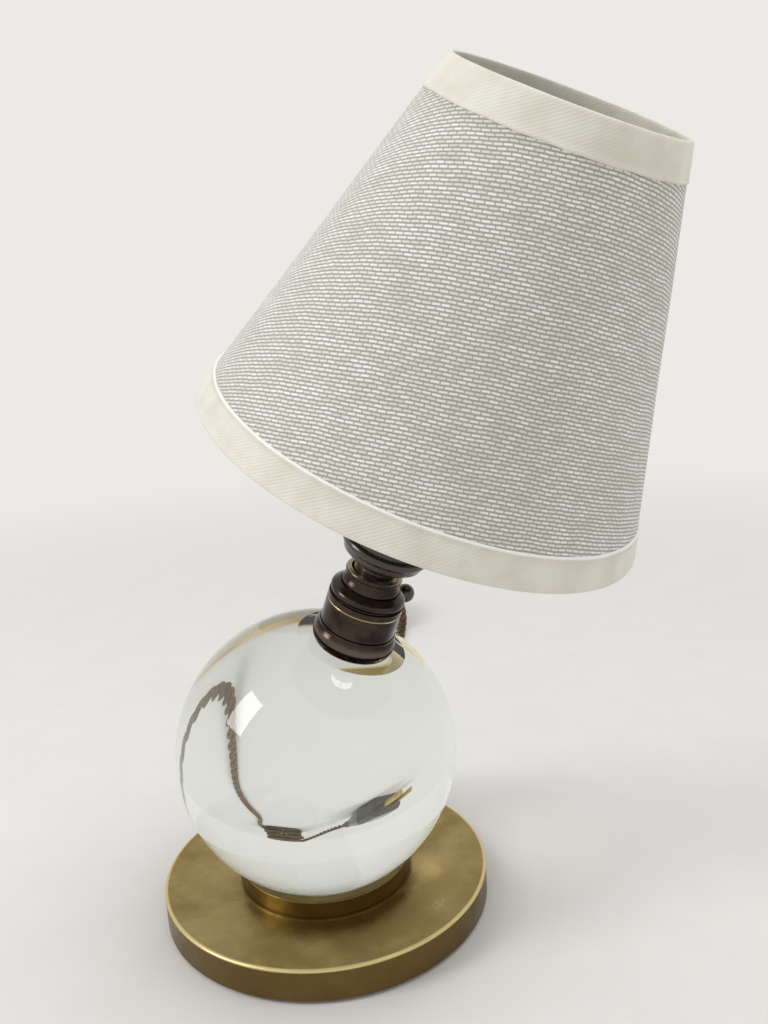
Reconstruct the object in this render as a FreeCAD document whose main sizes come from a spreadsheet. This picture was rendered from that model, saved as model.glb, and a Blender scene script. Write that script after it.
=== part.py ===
import FreeCAD, Part
import math
import os
import Sketcher
from FreeCAD import Placement, Rotation, Vector

# Glass globe table lamp, in millimetres and degrees.
# The origin is the centre of the felt's underside, on the table. +Z is up, and the
# lampholder leans towards +X. Pieces above the ball are drawn upright on their own axis,
# with heights counted along it, and are then leant over as one.

SIZES = {
    # foot
    "base_radius": 59.0,
    "base_height": 12.5,
    "base_edge_round": 0.8,
    "dish_depth": 2.1,
    "dish_rim_width": 1.4,
    "dish_curve": 260.0,
    "felt_radius": 57.0,
    "felt_thickness": 1.0,
    "recess_radius": 40.0,
    "recess_depth": 2.0,
    "ring_radius": 31.0,
    "ring_foot_radius": 31.7,
    "ring_foot_height": 0.8,
    "ring_height": 6.9,
    "ring_bore_radius": 21.0,
    "ring_edge_round": 0.5,
    "screw_circle_radius": 25.0,
    "screw_count": 3,
    "screw_radius": 2.0,
    "screw_head_radius": 3.6,
    "screw_head_height": 2.4,
    "screw_bite": 2.6,
    "counterbore_depth": 3.2,
    "seat_pad_radius": 9.5,
    "seat_pad_thickness": 0.4,
    # ball
    "ball_radius": 50.0,
    "ball_height": 59.0,
    "ball_clearance": 0.1,
    "facet_height": 46.2,
    # lean of the holder, and the play that lets the adaptor sit further over
    "lean": 22.6,
    "adaptor_play": 4.0,
    # lampholder, heights along its axis from the ball's centre
    "plate_radius": 11.6,
    "plate_thickness": 2.0,
    "stud_radius": 5.0,
    "stud_top": 57.1,
    "flange_foot_radius": 13.2,
    "flange_bead_round": 5.0,
    "flange_wall": 1.0,
    "flange_top": 53.7,
    "barrel_radius": 12.9,
    "barrel_wall": 0.8,
    "barrel_web": 1.2,
    "barrel_top": 62.3,
    "barrel_edge": 0.35,
    "nut_radius": 8.0,
    "nut_height": 2.0,
    "block_bottom": 60.0,
    "block_top": 62.9,
    "block_boss_radius": 7.8,
    "collar_top": 69.4,
    "collar_band": 2.4,
    "collar_groove": 0.6,
    "collar_bead_round": 1.9,
    "cup_radius": 9.95,
    "cup_rim_radius": 9.1,
    "cup_top": 74.9,
    "cup_bore_radius": 8.0,
    "cup_flange": 0.9,
    "slot_radius": 8.7,
    "slot_height": 2.6,
    "slot_start": 80.0,
    "slot_turn_angle": 40.0,
    "slot_channel_start": 100.0,
    "slot_channel_angle": 20.0,
    "plunger_radius": 1.3,
    "plunger_offset": 3.7,
    "plunger_bottom": 58.6,
    "plunger_top": 64.4,
    "terminal_radius": 2.0,
    "fit_clearance": 0.15,
    "running_clearance": 0.05,
    # switch and cable entry, on the barrel's back
    "knob_angle": 64.0,
    "knob_height": 64.4,
    "knob_radius": 3.3,
    "knob_reach": 16.9,
    "knob_flat": 0.7,
    "spindle_radius": 1.0,
    "spindle_root": 10.8,
    "cord_angle": 77.0,
    "cord_height": 57.45,
    "bush_radius": 2.4,
    "bush_flange_radius": 3.0,
    "bush_flange": 1.0,
    "bush_bore_radius": 1.8,
    "bush_inner_reach": 10.6,
    # adaptor, heights along its own axis from the bayonet pins
    "pin_height": 70.5,
    "pin_radius": 0.95,
    "pin_reach": 8.45,
    "cap_radius": 7.4,
    "cap_wall": 0.4,
    "cap_bottom": 5.2,
    "cap_top": 4.3,
    "disc_thickness": 2.0,
    "disc_proud": 0.4,
    "pad_radius": 1.7,
    "pad_thickness": 0.2,
    "neck_radius": 6.35,
    "neck_top": 6.4,
    "flare_radius": 12.9,
    "flare_top": 11.1,
    "brim_radius": 14.6,
    "brim_bottom": 13.4,
    "brim_top": 15.6,
    "tube_radius": 13.2,
    "adaptor_top": 31.0,
    "shell_radius": 7.3,
    "shell_wall": 0.35,
    "shell_bottom": 14.0,
    "shell_drop": 0.8,
    "socket_floor": 12.0,
    "centre_contact_radius": 2.2,
    "centre_contact_height": 1.2,
    # candle bulb
    "bulb_contact_radius": 1.9,
    "bulb_contact_height": 1.3,
    "bulb_cap_bottom": 14.6,
    "bulb_cap_radius": 6.75,
    "bulb_cap_top": 38.0,
    "bulb_skirt_radius": 8.6,
    "bulb_neck_radius": 8.4,
    "bulb_radius": 17.5,
    "bulb_widest": 62.0,
    "bulb_lower_curve": 32.4,
    "bulb_upper_curve": 72.5,
    "bulb_shoulder_radius": 11.0,
    "bulb_shoulder": 92.0,
    "bulb_tip_radius": 2.2,
    "bulb_tip_start": 108.6,
    "bulb_tip": 110.6,
    "bulb_tip_curve": 2.5,
    "bulb_tip_flat": 0.5,
    # clip
    "bar_height": 115.0,
    "frame_turn": 16.0,
    "clip_wire": 0.7,
    "loop_half_width": 8.0,
    "loop_touch_height": 80.0,
    "loop_touch_reach": 14.05,
    "loop_slope": 14.0,
    "loop_bottom": 70.0,
    "loop_corner": 3.0,
    "clip_plate_length": 13.6,
    "clip_plate_width": 19.0,
    "clip_plate_thickness": 1.0,
    "barrel_roll_radius": 1.9,
    "barrel_roll_length": 21.0,
    # shade
    "shade_bottom": 46.9,
    "shade_height": 109.5,
    "shade_bottom_radius": 71.5,
    "shade_top_radius": 35.0,
    "shade_wall": 0.8,
    "trim_thickness": 0.5,
    "bottom_trim_width": 9.6,
    "top_trim_width": 10.8,
    "inner_fold": 6.0,
    "ring_wire": 1.2,
    "frame_wire": 0.8,
    "bar_half_length": 14.0,
    "frame_bend": 4.0,
    # flex, coil and plug
    "flex_radius": 2.0,
    "route_turn": 27.7,
    "coil_right": 7.0,
    "coil_back": 300.0,
    "coil_start_radius": 28.2,
    "coil_pitch": 4.6,
    "coil_layers": 4,
    "coil_layer_turns": 2.375,
    "coil_layer_step": 4.6,
    "coil_lift": 2.05,
    "plug_width": 35.0,
    "plug_thickness": 13.6,
    "plug_length": 34.0,
    "plug_tail_width": 14.0,
    "plug_tail_thickness": 8.0,
    "plug_neck_radius": 3.2,
    "plug_neck_length": 10.0,
    "plug_pin_radius": 2.0,
    "plug_pin_length": 19.0,
    "plug_pin_spacing": 18.6,
}


class Size:
    """A size that knows its formula in the sheet as well as its value."""

    def __init__(self, text, value):
        self.text = text
        self.value = value

    def join(self, other, sign, value):
        return Size("(%s %s %s)" % (self.text, sign, other.text), value)

    def __add__(self, other):
        other = as_size(other)
        return self.join(other, "+", self.value + other.value)

    def __sub__(self, other):
        other = as_size(other)
        return self.join(other, "-", self.value - other.value)

    def __mul__(self, other):
        other = as_size(other)
        return self.join(other, "*", self.value * other.value)

    def __truediv__(self, other):
        other = as_size(other)
        return self.join(other, "/", self.value / other.value)

    def __neg__(self):
        return Size("(0 - %s)" % self.text, -self.value)


def as_size(number):
    return number if isinstance(number, Size) else Size(repr(float(number)), float(number))


def root(size):
    return Size("sqrt(%s)" % size.text, math.sqrt(size.value))


def sine(size):
    return Size("sin(%s)" % size.text, math.sin(math.radians(size.value)))


def cosine(size):
    return Size("cos(%s)" % size.text, math.cos(math.radians(size.value)))


doc = FreeCAD.newDocument("lamp")
sheet = doc.addObject("Spreadsheet::Sheet", "sizes")
for row, (alias, number) in enumerate(SIZES.items(), 1):
    sheet.set("A%d" % row, alias)
    sheet.set("B%d" % row, str(number))
    sheet.setAlias("B%d" % row, alias)
doc.recompute()


def size(alias):
    return Size("sizes." + alias, float(sheet.get(alias)))


nodes = []


# Frames that the leaning pieces share
X_AXIS = Vector(1, 0, 0)
Y_AXIS = Vector(0, 1, 0)
Z_AXIS = Vector(0, 0, 1)

lean = size("lean")
upper_lean = lean + size("adaptor_play")
ball_height = size("ball_height")
pin_height = size("pin_height")
# name of the frame: x, z and lean
FRAMES = {
    "foot": (None, None, None),
    "holder": (as_size(0), ball_height, lean),
    "upper": (pin_height * sine(lean), ball_height + pin_height * cosine(lean), upper_lean),
}


def put(thing, frame, turn=None):
    """Lean a piece over with its frame, after a turn about its own axis."""
    x, z, tilt = FRAMES[frame]
    if tilt is None:
        return
    spin = Rotation(Z_AXIS, turn.value) if turn else Rotation()
    thing.Placement = Placement(Vector(x.value, 0, z.value), Rotation(Y_AXIS, tilt.value) * spin)
    thing.setExpression("Placement.Base.x", x.text)
    thing.setExpression("Placement.Base.z", z.text)
    if turn is None:
        thing.setExpression("Placement.Rotation.Angle", tilt.text)


def placement_of(frame):
    x, z, tilt = FRAMES[frame]
    return Placement(Vector(x.value, 0, z.value), Rotation(Y_AXIS, tilt.value))


def new_body(label, frame="foot"):
    body = doc.addObject("PartDesign::Body", label)
    body.Label = label
    put(body, frame)
    nodes.append(body)
    return body


def plane(body, role):
    for feature in body.Origin.OriginFeatures:
        if feature.Role == role:
            return feature


def sketch_on(body, name, role, offset=None):
    sketch = body.newObject("Sketcher::SketchObject", name)
    sketch.AttachmentSupport = [(plane(body, role), "")]
    sketch.MapMode = "FlatFace"
    if offset is not None:
        sketch.AttachmentOffset = Placement(Vector(0, 0, offset.value), Rotation())
        sketch.setExpression("AttachmentOffset.Base.z", offset.text)
    return sketch


def fix_point(sketch, edge, end, axis, amount):
    """Tie one coordinate of a sketch point to a formula."""
    amount = as_size(amount)
    index = sketch.addConstraint(Sketcher.Constraint(axis, -1, 1, edge, end, amount.value))
    sketch.setExpression("Constraints[%d]" % index, amount.text)


def outline(sketch, corners):
    """Close a loop through corners (x, y), or (x, y, radius, side) where an arc leads on."""
    points = [Vector(as_size(c[0]).value, as_size(c[1]).value, 0) for c in corners]
    starts = []
    ends = []
    for i, corner in enumerate(corners):
        here = points[i]
        there = points[(i + 1) % len(points)]
        if len(corner) == 2:
            edge = sketch.addGeometry(Part.LineSegment(here, there), False)
            starts.append((edge, 1))
            ends.append((edge, 2))
            continue
        radius = as_size(corner[2])
        side = corner[3]
        chord = there - here
        rise = math.sqrt(radius.value ** 2 - (chord.Length / 2) ** 2)
        left = Vector(-chord.y, chord.x, 0).normalize()
        centre = (here + there) * 0.5 - left * (side * rise)
        first, last = (there, here) if side > 0 else (here, there)
        a = math.atan2(first.y - centre.y, first.x - centre.x)
        b = math.atan2(last.y - centre.y, last.x - centre.x)
        circle = Part.Circle(centre, Z_AXIS, radius.value)
        edge = sketch.addGeometry(Part.ArcOfCircle(circle, a, b), False)
        starts.append((edge, 2 if side > 0 else 1))
        ends.append((edge, 1 if side > 0 else 2))
    for i in range(len(corners)):
        after = starts[(i + 1) % len(corners)]
        sketch.addConstraint(Sketcher.Constraint("Coincident", *ends[i], *after))
    for i, corner in enumerate(corners):
        fix_point(sketch, *starts[i], "DistanceX", corner[0])
        fix_point(sketch, *starts[i], "DistanceY", corner[1])
        if len(corner) > 2:
            radius = as_size(corner[2])
            index = sketch.addConstraint(Sketcher.Constraint("Radius", starts[i][0], radius.value))
            sketch.setExpression("Constraints[%d]" % index, radius.text)


def circles(sketch, places):
    """Draw circles at (x, y, radius)."""
    for x, y, radius in places:
        x, y, radius = as_size(x), as_size(y), as_size(radius)
        circle = Part.Circle(Vector(x.value, y.value, 0), Z_AXIS, radius.value)
        edge = sketch.addGeometry(circle, False)
        fix_point(sketch, edge, 3, "DistanceX", x)
        fix_point(sketch, edge, 3, "DistanceY", y)
        index = sketch.addConstraint(Sketcher.Constraint("Radius", edge, radius.value))
        sketch.setExpression("Constraints[%d]" % index, radius.text)


def turn_profile(body, corners, name="turning"):
    """Revolve a half section (radius, height) about the piece's axis."""
    sketch = sketch_on(body, body.Label + "_section", "XZ_Plane")
    outline(sketch, corners)
    turned = body.newObject("PartDesign::Revolution", body.Label + "_" + name)
    turned.Profile = sketch
    turned.ReferenceAxis = (sketch, ["V_Axis"])
    turned.Angle = 360
    return turned


def groove(body, corners, name, angle=None, start=None):
    """Turn a ring, or part of one, out of the piece."""
    label = body.Label + "_" + name + "_section"
    sketch = turned_sketch(body, label, "XZ_Plane", start) if start else sketch_on(body, label, "XZ_Plane")
    outline(sketch, corners)
    cut = body.newObject("PartDesign::Groove", body.Label + "_" + name)
    cut.Profile = sketch
    cut.ReferenceAxis = (sketch, ["V_Axis"])
    cut.Angle = 360
    if angle is not None:
        cut.Angle = angle.value
        cut.setExpression("Angle", angle.text)
    return cut


def pad(body, sketch, length, name):
    feature = body.newObject("PartDesign::Pad", body.Label + "_" + name)
    feature.Profile = sketch
    feature.Length = length.value
    feature.setExpression("Length", length.text)
    return feature


def drill(body, sketch, depth, name, reverse=False):
    feature = body.newObject("PartDesign::Pocket", body.Label + "_" + name)
    feature.Profile = sketch
    feature.Length = depth.value
    feature.setExpression("Length", depth.text)
    feature.Reversed = reverse
    return feature


def turned_sketch(body, name, role, angle):
    """A sketch on an upright plane, turned about the piece's axis."""
    sketch = sketch_on(body, name, role)
    sketch.AttachmentOffset = Placement(Vector(0, 0, 0), Rotation(Y_AXIS, angle.value))
    sketch.setExpression("AttachmentOffset.Rotation.Angle", angle.text)
    return sketch


def side_hole(body, angle, height, radius, name):
    """Drill outwards through the wall on one side."""
    sketch = turned_sketch(body, body.Label + "_" + name + "_section", "YZ_Plane", angle)
    circles(sketch, [(0, height, radius)])
    return drill(body, sketch, size("barrel_radius") * 2, name, reverse=True)


def around(body, features, count, name):
    """Repeat features round the piece's axis."""
    pattern = body.newObject("PartDesign::PolarPattern", body.Label + "_" + name)
    pattern.Originals = features
    pattern.Axis = (features[0].Profile[0], ["V_Axis"])
    pattern.Angle = 360
    pattern.Occurrences = int(count.value)
    body.Tip = pattern
    return pattern


def turned_piece(label, corners, frame="foot"):
    body = new_body(label, frame)
    turn_profile(body, corners)
    return body


def cylinder(label, frame, radius, height, at, direction=Z_AXIS, keep=True):
    """A plain round piece. at and the sizes are formulas in the frame."""
    piece = doc.addObject("Part::Cylinder", label)
    piece.Label = label
    piece.setExpression("Radius", radius.text)
    piece.setExpression("Height", height.text)
    where = Vector(*[as_size(a).value for a in at])
    local = Placement(where, Rotation(Z_AXIS, direction))
    piece.Placement = local if frame == "foot" else placement_of(frame) * local
    if keep:
        nodes.append(piece)
    return piece


def solid(label, shape, frame="foot"):
    """A piece whose shape is worked out below."""
    piece = doc.addObject("Part::Feature", label)
    piece.Label = label
    piece.Shape = shape
    if frame != "foot":
        piece.Placement = placement_of(frame)
    nodes.append(piece)
    return piece


# Felt, base disc and seat ring
felt_thickness = size("felt_thickness")
felt_radius = size("felt_radius")
base_radius = size("base_radius")
base_height = size("base_height")
floor_height = base_height - size("dish_depth")
ring_foot_radius = size("ring_foot_radius")
seat_edge = ring_foot_radius + size("dish_rim_width")
edge = size("base_edge_round")

turned_piece("felt_pad", [(0, 0), (felt_radius, 0), (felt_radius, felt_thickness), (0, felt_thickness)])

base = new_body("base_disc")
recess_top = felt_thickness + size("recess_depth")
turn_profile(
    base,
    [
        (0, recess_top),
        (size("recess_radius"), recess_top),
        (size("recess_radius"), felt_thickness),
        (base_radius - edge, felt_thickness, edge, -1),
        (base_radius, felt_thickness + edge),
        (base_radius, base_height - edge, edge, -1),
        (base_radius - edge, base_height),
        (base_radius - size("dish_rim_width"), base_height, size("dish_curve"), 1),
        (seat_edge, floor_height),
        (0, floor_height),
    ],
)
screw_circle_radius = size("screw_circle_radius")
screw_clear = size("screw_radius") + size("fit_clearance")
sketch = sketch_on(base, "screw_clearance", "XY_Plane", recess_top)
circles(sketch, [(screw_circle_radius, 0, screw_clear)])
holes = drill(base, sketch, base_height, "screw_hole", reverse=True)
sketch = sketch_on(base, "screw_counterbore", "XY_Plane", recess_top)
circles(sketch, [(screw_circle_radius, 0, size("screw_head_radius") + size("fit_clearance"))])
sinks = drill(base, sketch, size("counterbore_depth"), "screw_sink", reverse=True)
pattern = around(base, [holes, sinks], size("screw_count"), "screw_holes")
pattern.Axis = (plane(base, "Z_Axis"), [""])

ring_top = floor_height + size("ring_height")
ring_radius = size("ring_radius")
ring_bore_radius = size("ring_bore_radius")
ring_edge = size("ring_edge_round")
ball_radius = size("ball_radius")
seat_radius = ball_radius + size("ball_clearance")


def ball_reach(height, radius):
    """How far the ball's surface is from the upright axis at a height."""
    drop = ball_height - height
    return root(radius * radius - drop * drop)


def ball_drop(reach, radius):
    """The height of the ball's lower surface at a distance from the upright axis."""
    return ball_height - root(radius * radius - reach * reach)


ring = new_body("seat_ring")
foot_top = floor_height + size("ring_foot_height")
lip = ball_reach(ring_top, seat_radius)
turn_profile(
    ring,
    [
        (ring_bore_radius, floor_height),
        (ring_foot_radius, floor_height),
        (ring_foot_radius, foot_top),
        (ring_radius, foot_top),
        (ring_radius, ring_top - ring_edge, ring_edge, -1),
        (ring_radius - ring_edge, ring_top),
        (lip, ring_top, seat_radius, 1),
        (ring_bore_radius, ball_drop(ring_bore_radius, seat_radius)),
    ],
)
sketch = sketch_on(ring, "screw_thread", "XY_Plane", floor_height)
circles(sketch, [(screw_circle_radius, 0, size("screw_radius"))])
tapped = drill(ring, sketch, size("screw_bite"), "tapped_hole", reverse=True)
pattern = around(ring, [tapped], size("screw_count"), "tapped_holes")
pattern.Axis = (plane(ring, "Z_Axis"), [""])

head_top = recess_top + size("counterbore_depth")
head_bottom = head_top - size("screw_head_height")
for i in range(int(size("screw_count").value)):
    screw = turned_piece(
        "ring_screw_%d" % (i + 1),
        [
            (0, head_bottom),
            (size("screw_head_radius"), head_bottom),
            (size("screw_head_radius"), head_top),
            (size("screw_radius"), head_top),
            (size("screw_radius"), floor_height + size("screw_bite")),
            (0, floor_height + size("screw_bite")),
        ],
    )
    angle = 360.0 * i / size("screw_count").value
    away = Rotation(Z_AXIS, angle).multVec(X_AXIS)
    screw.setExpression("Placement.Base.x", (screw_circle_radius * away.x).text)
    screw.setExpression("Placement.Base.y", (screw_circle_radius * away.y).text)

pad_top = floor_height + size("seat_pad_thickness")
turned_piece(
    "seat_pad",
    [
        (0, floor_height),
        (size("seat_pad_radius"), floor_height),
        (size("seat_pad_radius"), pad_top),
        (0, pad_top),
    ],
)

# Glass ball, with a flat below and a polished facet square to the holder
ball = doc.addObject("Part::Sphere", "ball_blank")
ball.setExpression("Radius", ball_radius.text)
ball.setExpression("Placement.Base.z", ball_height.text)
ground = doc.addObject("Part::Cylinder", "ground_flat")
ground.setExpression("Radius", ball_radius.text)
ground.setExpression("Height", pad_top.text)
polished = cylinder("polished_facet", "holder", ball_radius, ball_radius, (0, 0, size("facet_height")), keep=False)
waste = doc.addObject("Part::MultiFuse", "ball_waste")
waste.Shapes = [ground, polished]
glass = doc.addObject("Part::Cut", "glass_ball")
glass.Label = "glass_ball"
glass.Base = ball
glass.Tool = waste
nodes.append(glass)

# Lampholder: plate and stud, flange, barrel, nut
facet = size("facet_height")
plate_top = facet + size("plate_thickness")
stud_radius = size("stud_radius")
stud_top = size("stud_top")
turned_piece(
    "mount_plate",
    [
        (0, facet),
        (size("plate_radius"), facet),
        (size("plate_radius"), plate_top),
        (stud_radius, plate_top),
        (stud_radius, stud_top),
        (0, stud_top),
    ],
    "holder",
)

fit = size("fit_clearance")
flange_top = size("flange_top")
flange_wall = size("flange_wall")
foot_radius = size("flange_foot_radius")
stud_hole = stud_radius + fit
inside = foot_radius - flange_wall
turned_piece(
    "holder_flange",
    [
        (inside, facet),
        (foot_radius, facet, size("flange_bead_round"), -1),
        (foot_radius, flange_top - flange_wall),
        (foot_radius, flange_top),
        (stud_hole, flange_top),
        (stud_hole, flange_top - flange_wall),
        (inside, flange_top - flange_wall),
    ],
    "holder",
)

barrel_radius = size("barrel_radius")
barrel_bore = barrel_radius - size("barrel_wall")
barrel_top = size("barrel_top")
web_top = flange_top + size("barrel_web")
bevel = size("barrel_edge")
barrel = new_body("holder_barrel", "holder")
turn_profile(
    barrel,
    [
        (stud_hole, flange_top),
        (barrel_radius - bevel, flange_top),
        (barrel_radius, flange_top + bevel),
        (barrel_radius, barrel_top - bevel),
        (barrel_radius - bevel, barrel_top),
        (barrel_bore, barrel_top),
        (barrel_bore, web_top),
        (stud_hole, web_top),
    ],
)
cord_angle = size("cord_angle")
cord_height = size("cord_height")
bush_radius = size("bush_radius")
side_hole(barrel, cord_angle, cord_height, bush_radius + fit, "cord_hole")

nut = new_body("stud_nut", "holder")
sketch = sketch_on(nut, "nut_outline", "XY_Plane", web_top)
corners = []
for i in range(6):
    way = math.radians(60 * i)
    corners.append((size("nut_radius") * math.cos(way), size("nut_radius") * math.sin(way)))
outline(sketch, corners)
circles(sketch, [(0, 0, stud_radius)])
pad(nut, sketch, size("nut_height"), "hexagon")


def across(label, frame, angle, height, corners):
    """A turned piece that points outwards: corners are (radius, reach from the frame's axis)."""
    body = new_body(label, "foot")
    turn_profile(body, corners)
    out = Rotation(Z_AXIS, angle.value) * Rotation(Y_AXIS, 90)
    body.Placement = placement_of(frame) * Placement(Vector(0, 0, height.value), out)
    return body


bush_seat = barrel_radius + size("bush_flange")
across(
    "cable_bush",
    "holder",
    cord_angle,
    cord_height,
    [
        (size("bush_bore_radius"), size("bush_inner_reach")),
        (bush_radius, size("bush_inner_reach")),
        (bush_radius, barrel_radius),
        (size("bush_flange_radius"), barrel_radius),
        (size("bush_flange_radius"), bush_seat),
        (size("bush_bore_radius"), bush_seat),
    ],
)

# Terminal block with its sprung contacts
block_bottom = size("block_bottom")
block_top = size("block_top")
boss = size("block_boss_radius")
plunger_offset = size("plunger_offset")
plunger_radius = size("plunger_radius")
block = new_body("terminal_block", "holder")
turn_profile(
    block,
    [
        (0, block_bottom),
        (barrel_bore - fit, block_bottom),
        (barrel_bore - fit, barrel_top),
        (boss, barrel_top),
        (boss, block_top),
        (0, block_top),
    ],
)
sketch = sketch_on(block, "plunger_bores", "XY_Plane", block_bottom)
bore = plunger_radius + fit
circles(sketch, [(0, plunger_offset, bore), (0, -plunger_offset, bore)])
drill(block, sketch, block_top, "plunger_bore", reverse=True)

plunger_bottom = size("plunger_bottom")
for label, way in (("plunger_left", 1), ("plunger_right", -1)):
    cylinder(
        label,
        "holder",
        plunger_radius,
        size("plunger_top") - plunger_bottom,
        (0, plunger_offset * way, plunger_bottom),
    )

# Collar and bayonet cup
collar_top = size("collar_top")
cup_radius = size("cup_radius")
cup_flange_top = barrel_top + size("cup_flange")
collar_bore = cup_radius + fit
band_top = barrel_top + size("collar_band")
step = size("collar_groove")
bead_bottom = band_top + step
shoulder = collar_top - step
turned_piece(
    "holder_collar",
    [
        (barrel_bore, barrel_top),
        (barrel_radius - bevel, barrel_top),
        (barrel_radius, barrel_top + bevel),
        (barrel_radius, band_top),
        (barrel_radius - step, band_top),
        (barrel_radius - step, bead_bottom, size("collar_bead_round"), -1),
        (barrel_radius - step * 1.5, shoulder - step),
        (cup_radius + step, collar_top),
        (collar_bore, collar_top),
        (collar_bore, cup_flange_top + fit),
        (barrel_bore, cup_flange_top + fit),
    ],
    "holder",
)

cup = new_body("bayonet_cup", "holder")
cup_top = size("cup_top")
cup_bore = size("cup_bore_radius")
rim = size("cup_rim_radius")
turn_profile(
    cup,
    [
        (cup_bore, barrel_top),
        (barrel_bore - fit, barrel_top),
        (barrel_bore - fit, cup_flange_top),
        (cup_radius, cup_flange_top),
        (cup_radius, collar_top + step * 2),
        (rim + step * 0.6, collar_top + step * 4),
        (rim, cup_top - step * 3, step * 1.6, -1),
        (rim, cup_top),
        (cup_bore, cup_top),
    ],
)
slot_radius = size("slot_radius")
slot_half = size("slot_height") / 2
inner = cup_bore - step
channel = groove(
    cup,
    [
        (inner, pin_height - slot_half),
        (slot_radius, pin_height - slot_half),
        (slot_radius, cup_top + step),
        (inner, cup_top + step),
    ],
    "channel",
    size("slot_channel_angle"),
    size("slot_channel_start"),
)
turn = groove(
    cup,
    [
        (inner, pin_height - slot_half),
        (slot_radius, pin_height - slot_half),
        (slot_radius, pin_height + slot_half),
        (inner, pin_height + slot_half),
    ],
    "locking_slot",
    size("slot_turn_angle"),
    size("slot_start"),
)
slots = around(cup, [channel, turn], as_size(2), "slots")
slots.Axis = (plane(cup, "Z_Axis"), [""])

# Switch
knob_angle = size("knob_angle")
knob_height = size("knob_height")
knob_reach = size("knob_reach")
knob_radius = size("knob_radius")
knob_root = knob_reach - knob_radius + size("knob_flat")
spindle_radius = size("spindle_radius")
across(
    "switch_knob",
    "holder",
    knob_angle,
    knob_height,
    [
        (0, knob_root),
        (root(knob_radius * knob_radius - (knob_reach - knob_root) * (knob_reach - knob_root)), knob_root, knob_radius, -1),
        (0, knob_reach + knob_radius),
    ],
)

# Adaptor from the bayonet to the small screw cap
cap_radius = size("cap_radius")
cap_bore = cap_radius - size("cap_wall")
cap_bottom = -size("cap_bottom")
cap_top = size("cap_top")
disc_bottom = cap_bottom - size("disc_proud")
disc_top = disc_bottom + size("disc_thickness")
pin_radius = size("pin_radius")
cap = new_body("adaptor_cap", "upper")
sketch = sketch_on(cap, "pin_section", "XZ_Plane")
circles(sketch, [(0, 0, pin_radius)])
pins = pad(cap, sketch, size("pin_reach") * 2, "pins")
pins.Midplane = True
turn_profile(cap, [(cap_bore, cap_bottom), (cap_radius, cap_bottom), (cap_radius, cap_top), (cap_bore, cap_top)])
groove(cap, [(0, cap_bottom), (cap_bore, cap_bottom), (cap_bore, cap_top), (0, cap_top)], "bore")

disc = turned_piece(
    "adaptor_disc",
    [
        (0, disc_bottom),
        (cap_bore - step, disc_bottom),
        (cap_bore, cap_bottom),
        (cap_bore, disc_top),
        (0, disc_top),
    ],
    "upper",
)
pad_thickness = size("pad_thickness")
for label, way in (("adaptor_pad_left", 1), ("adaptor_pad_right", -1)):
    cylinder(label, "upper", size("pad_radius"), pad_thickness, (0, plunger_offset * way, disc_bottom - pad_thickness))

neck_radius = size("neck_radius")
neck_top = size("neck_top")
flare_radius = size("flare_radius")
flare_top = size("flare_top")
brim_radius = size("brim_radius")
brim_bottom = size("brim_bottom")
brim_top = size("brim_top")
tube_radius = size("tube_radius")
adaptor_top = size("adaptor_top")
shell_radius = size("shell_radius")
socket_floor = size("socket_floor")
turned_piece(
    "adaptor_body",
    [
        (0, disc_top),
        (cap_bore, disc_top),
        (cap_bore, cap_top),
        (neck_radius, cap_top),
        (neck_radius, neck_top),
        (neck_radius + step * 2, neck_top + step),
        (flare_radius - step * 3, flare_top - step * 2.5),
        (flare_radius - step * 2, flare_top - step * 2.5),
        (flare_radius, flare_top),
        (flare_radius + step, flare_top),
        (brim_radius - step, brim_bottom - step),
        (brim_radius, brim_bottom, brim_top - brim_bottom, -1),
        (brim_radius, brim_top),
        (tube_radius, brim_top + step),
        (tube_radius, adaptor_top - step),
        (tube_radius - step, adaptor_top),
        (shell_radius, adaptor_top),
        (shell_radius, socket_floor),
        (0, socket_floor),
    ],
    "upper",
)
shell_bore = shell_radius - size("shell_wall")
shell_bottom = size("shell_bottom")
shell_top = adaptor_top - size("shell_drop")
turned_piece(
    "adaptor_shell",
    [(shell_bore, shell_bottom), (shell_radius, shell_bottom), (shell_radius, shell_top), (shell_bore, shell_top)],
    "upper",
)
cylinder(
    "adaptor_contact",
    "upper",
    size("centre_contact_radius"),
    size("centre_contact_height"),
    (0, 0, socket_floor),
)

# Candle bulb
bulb_cap_bottom = size("bulb_cap_bottom")
bulb_cap_radius = size("bulb_cap_radius")
bulb_cap_top = size("bulb_cap_top")
skirt_radius = size("bulb_skirt_radius")
skirt_top = bulb_cap_top + size("flange_wall")
contact_radius = size("bulb_contact_radius")
cylinder(
    "bulb_contact",
    "upper",
    contact_radius,
    size("bulb_contact_height"),
    (0, 0, bulb_cap_bottom - size("bulb_contact_height")),
)
turned_piece(
    "bulb_cap",
    [
        (0, bulb_cap_bottom),
        (contact_radius + step, bulb_cap_bottom),
        (bulb_cap_radius - step * 3, bulb_cap_bottom + step * 3),
        (bulb_cap_radius, bulb_cap_bottom + step * 5),
        (bulb_cap_radius, bulb_cap_top - step * 4),
        (skirt_radius, bulb_cap_top),
        (skirt_radius, skirt_top),
        (0, skirt_top),
    ],
    "upper",
)
bulb_radius = size("bulb_radius")
bulb_widest = size("bulb_widest")
turned_piece(
    "bulb_glass",
    [
        (0, skirt_top),
        (size("bulb_neck_radius"), skirt_top, size("bulb_lower_curve"), -1),
        (bulb_radius, bulb_widest, size("bulb_upper_curve"), -1),
        (size("bulb_shoulder_radius"), size("bulb_shoulder")),
        (size("bulb_tip_radius"), size("bulb_tip_start"), size("bulb_tip_curve"), -1),
        (size("bulb_tip_flat"), size("bulb_tip")),
        (0, size("bulb_tip")),
    ],
    "upper",
)


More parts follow.
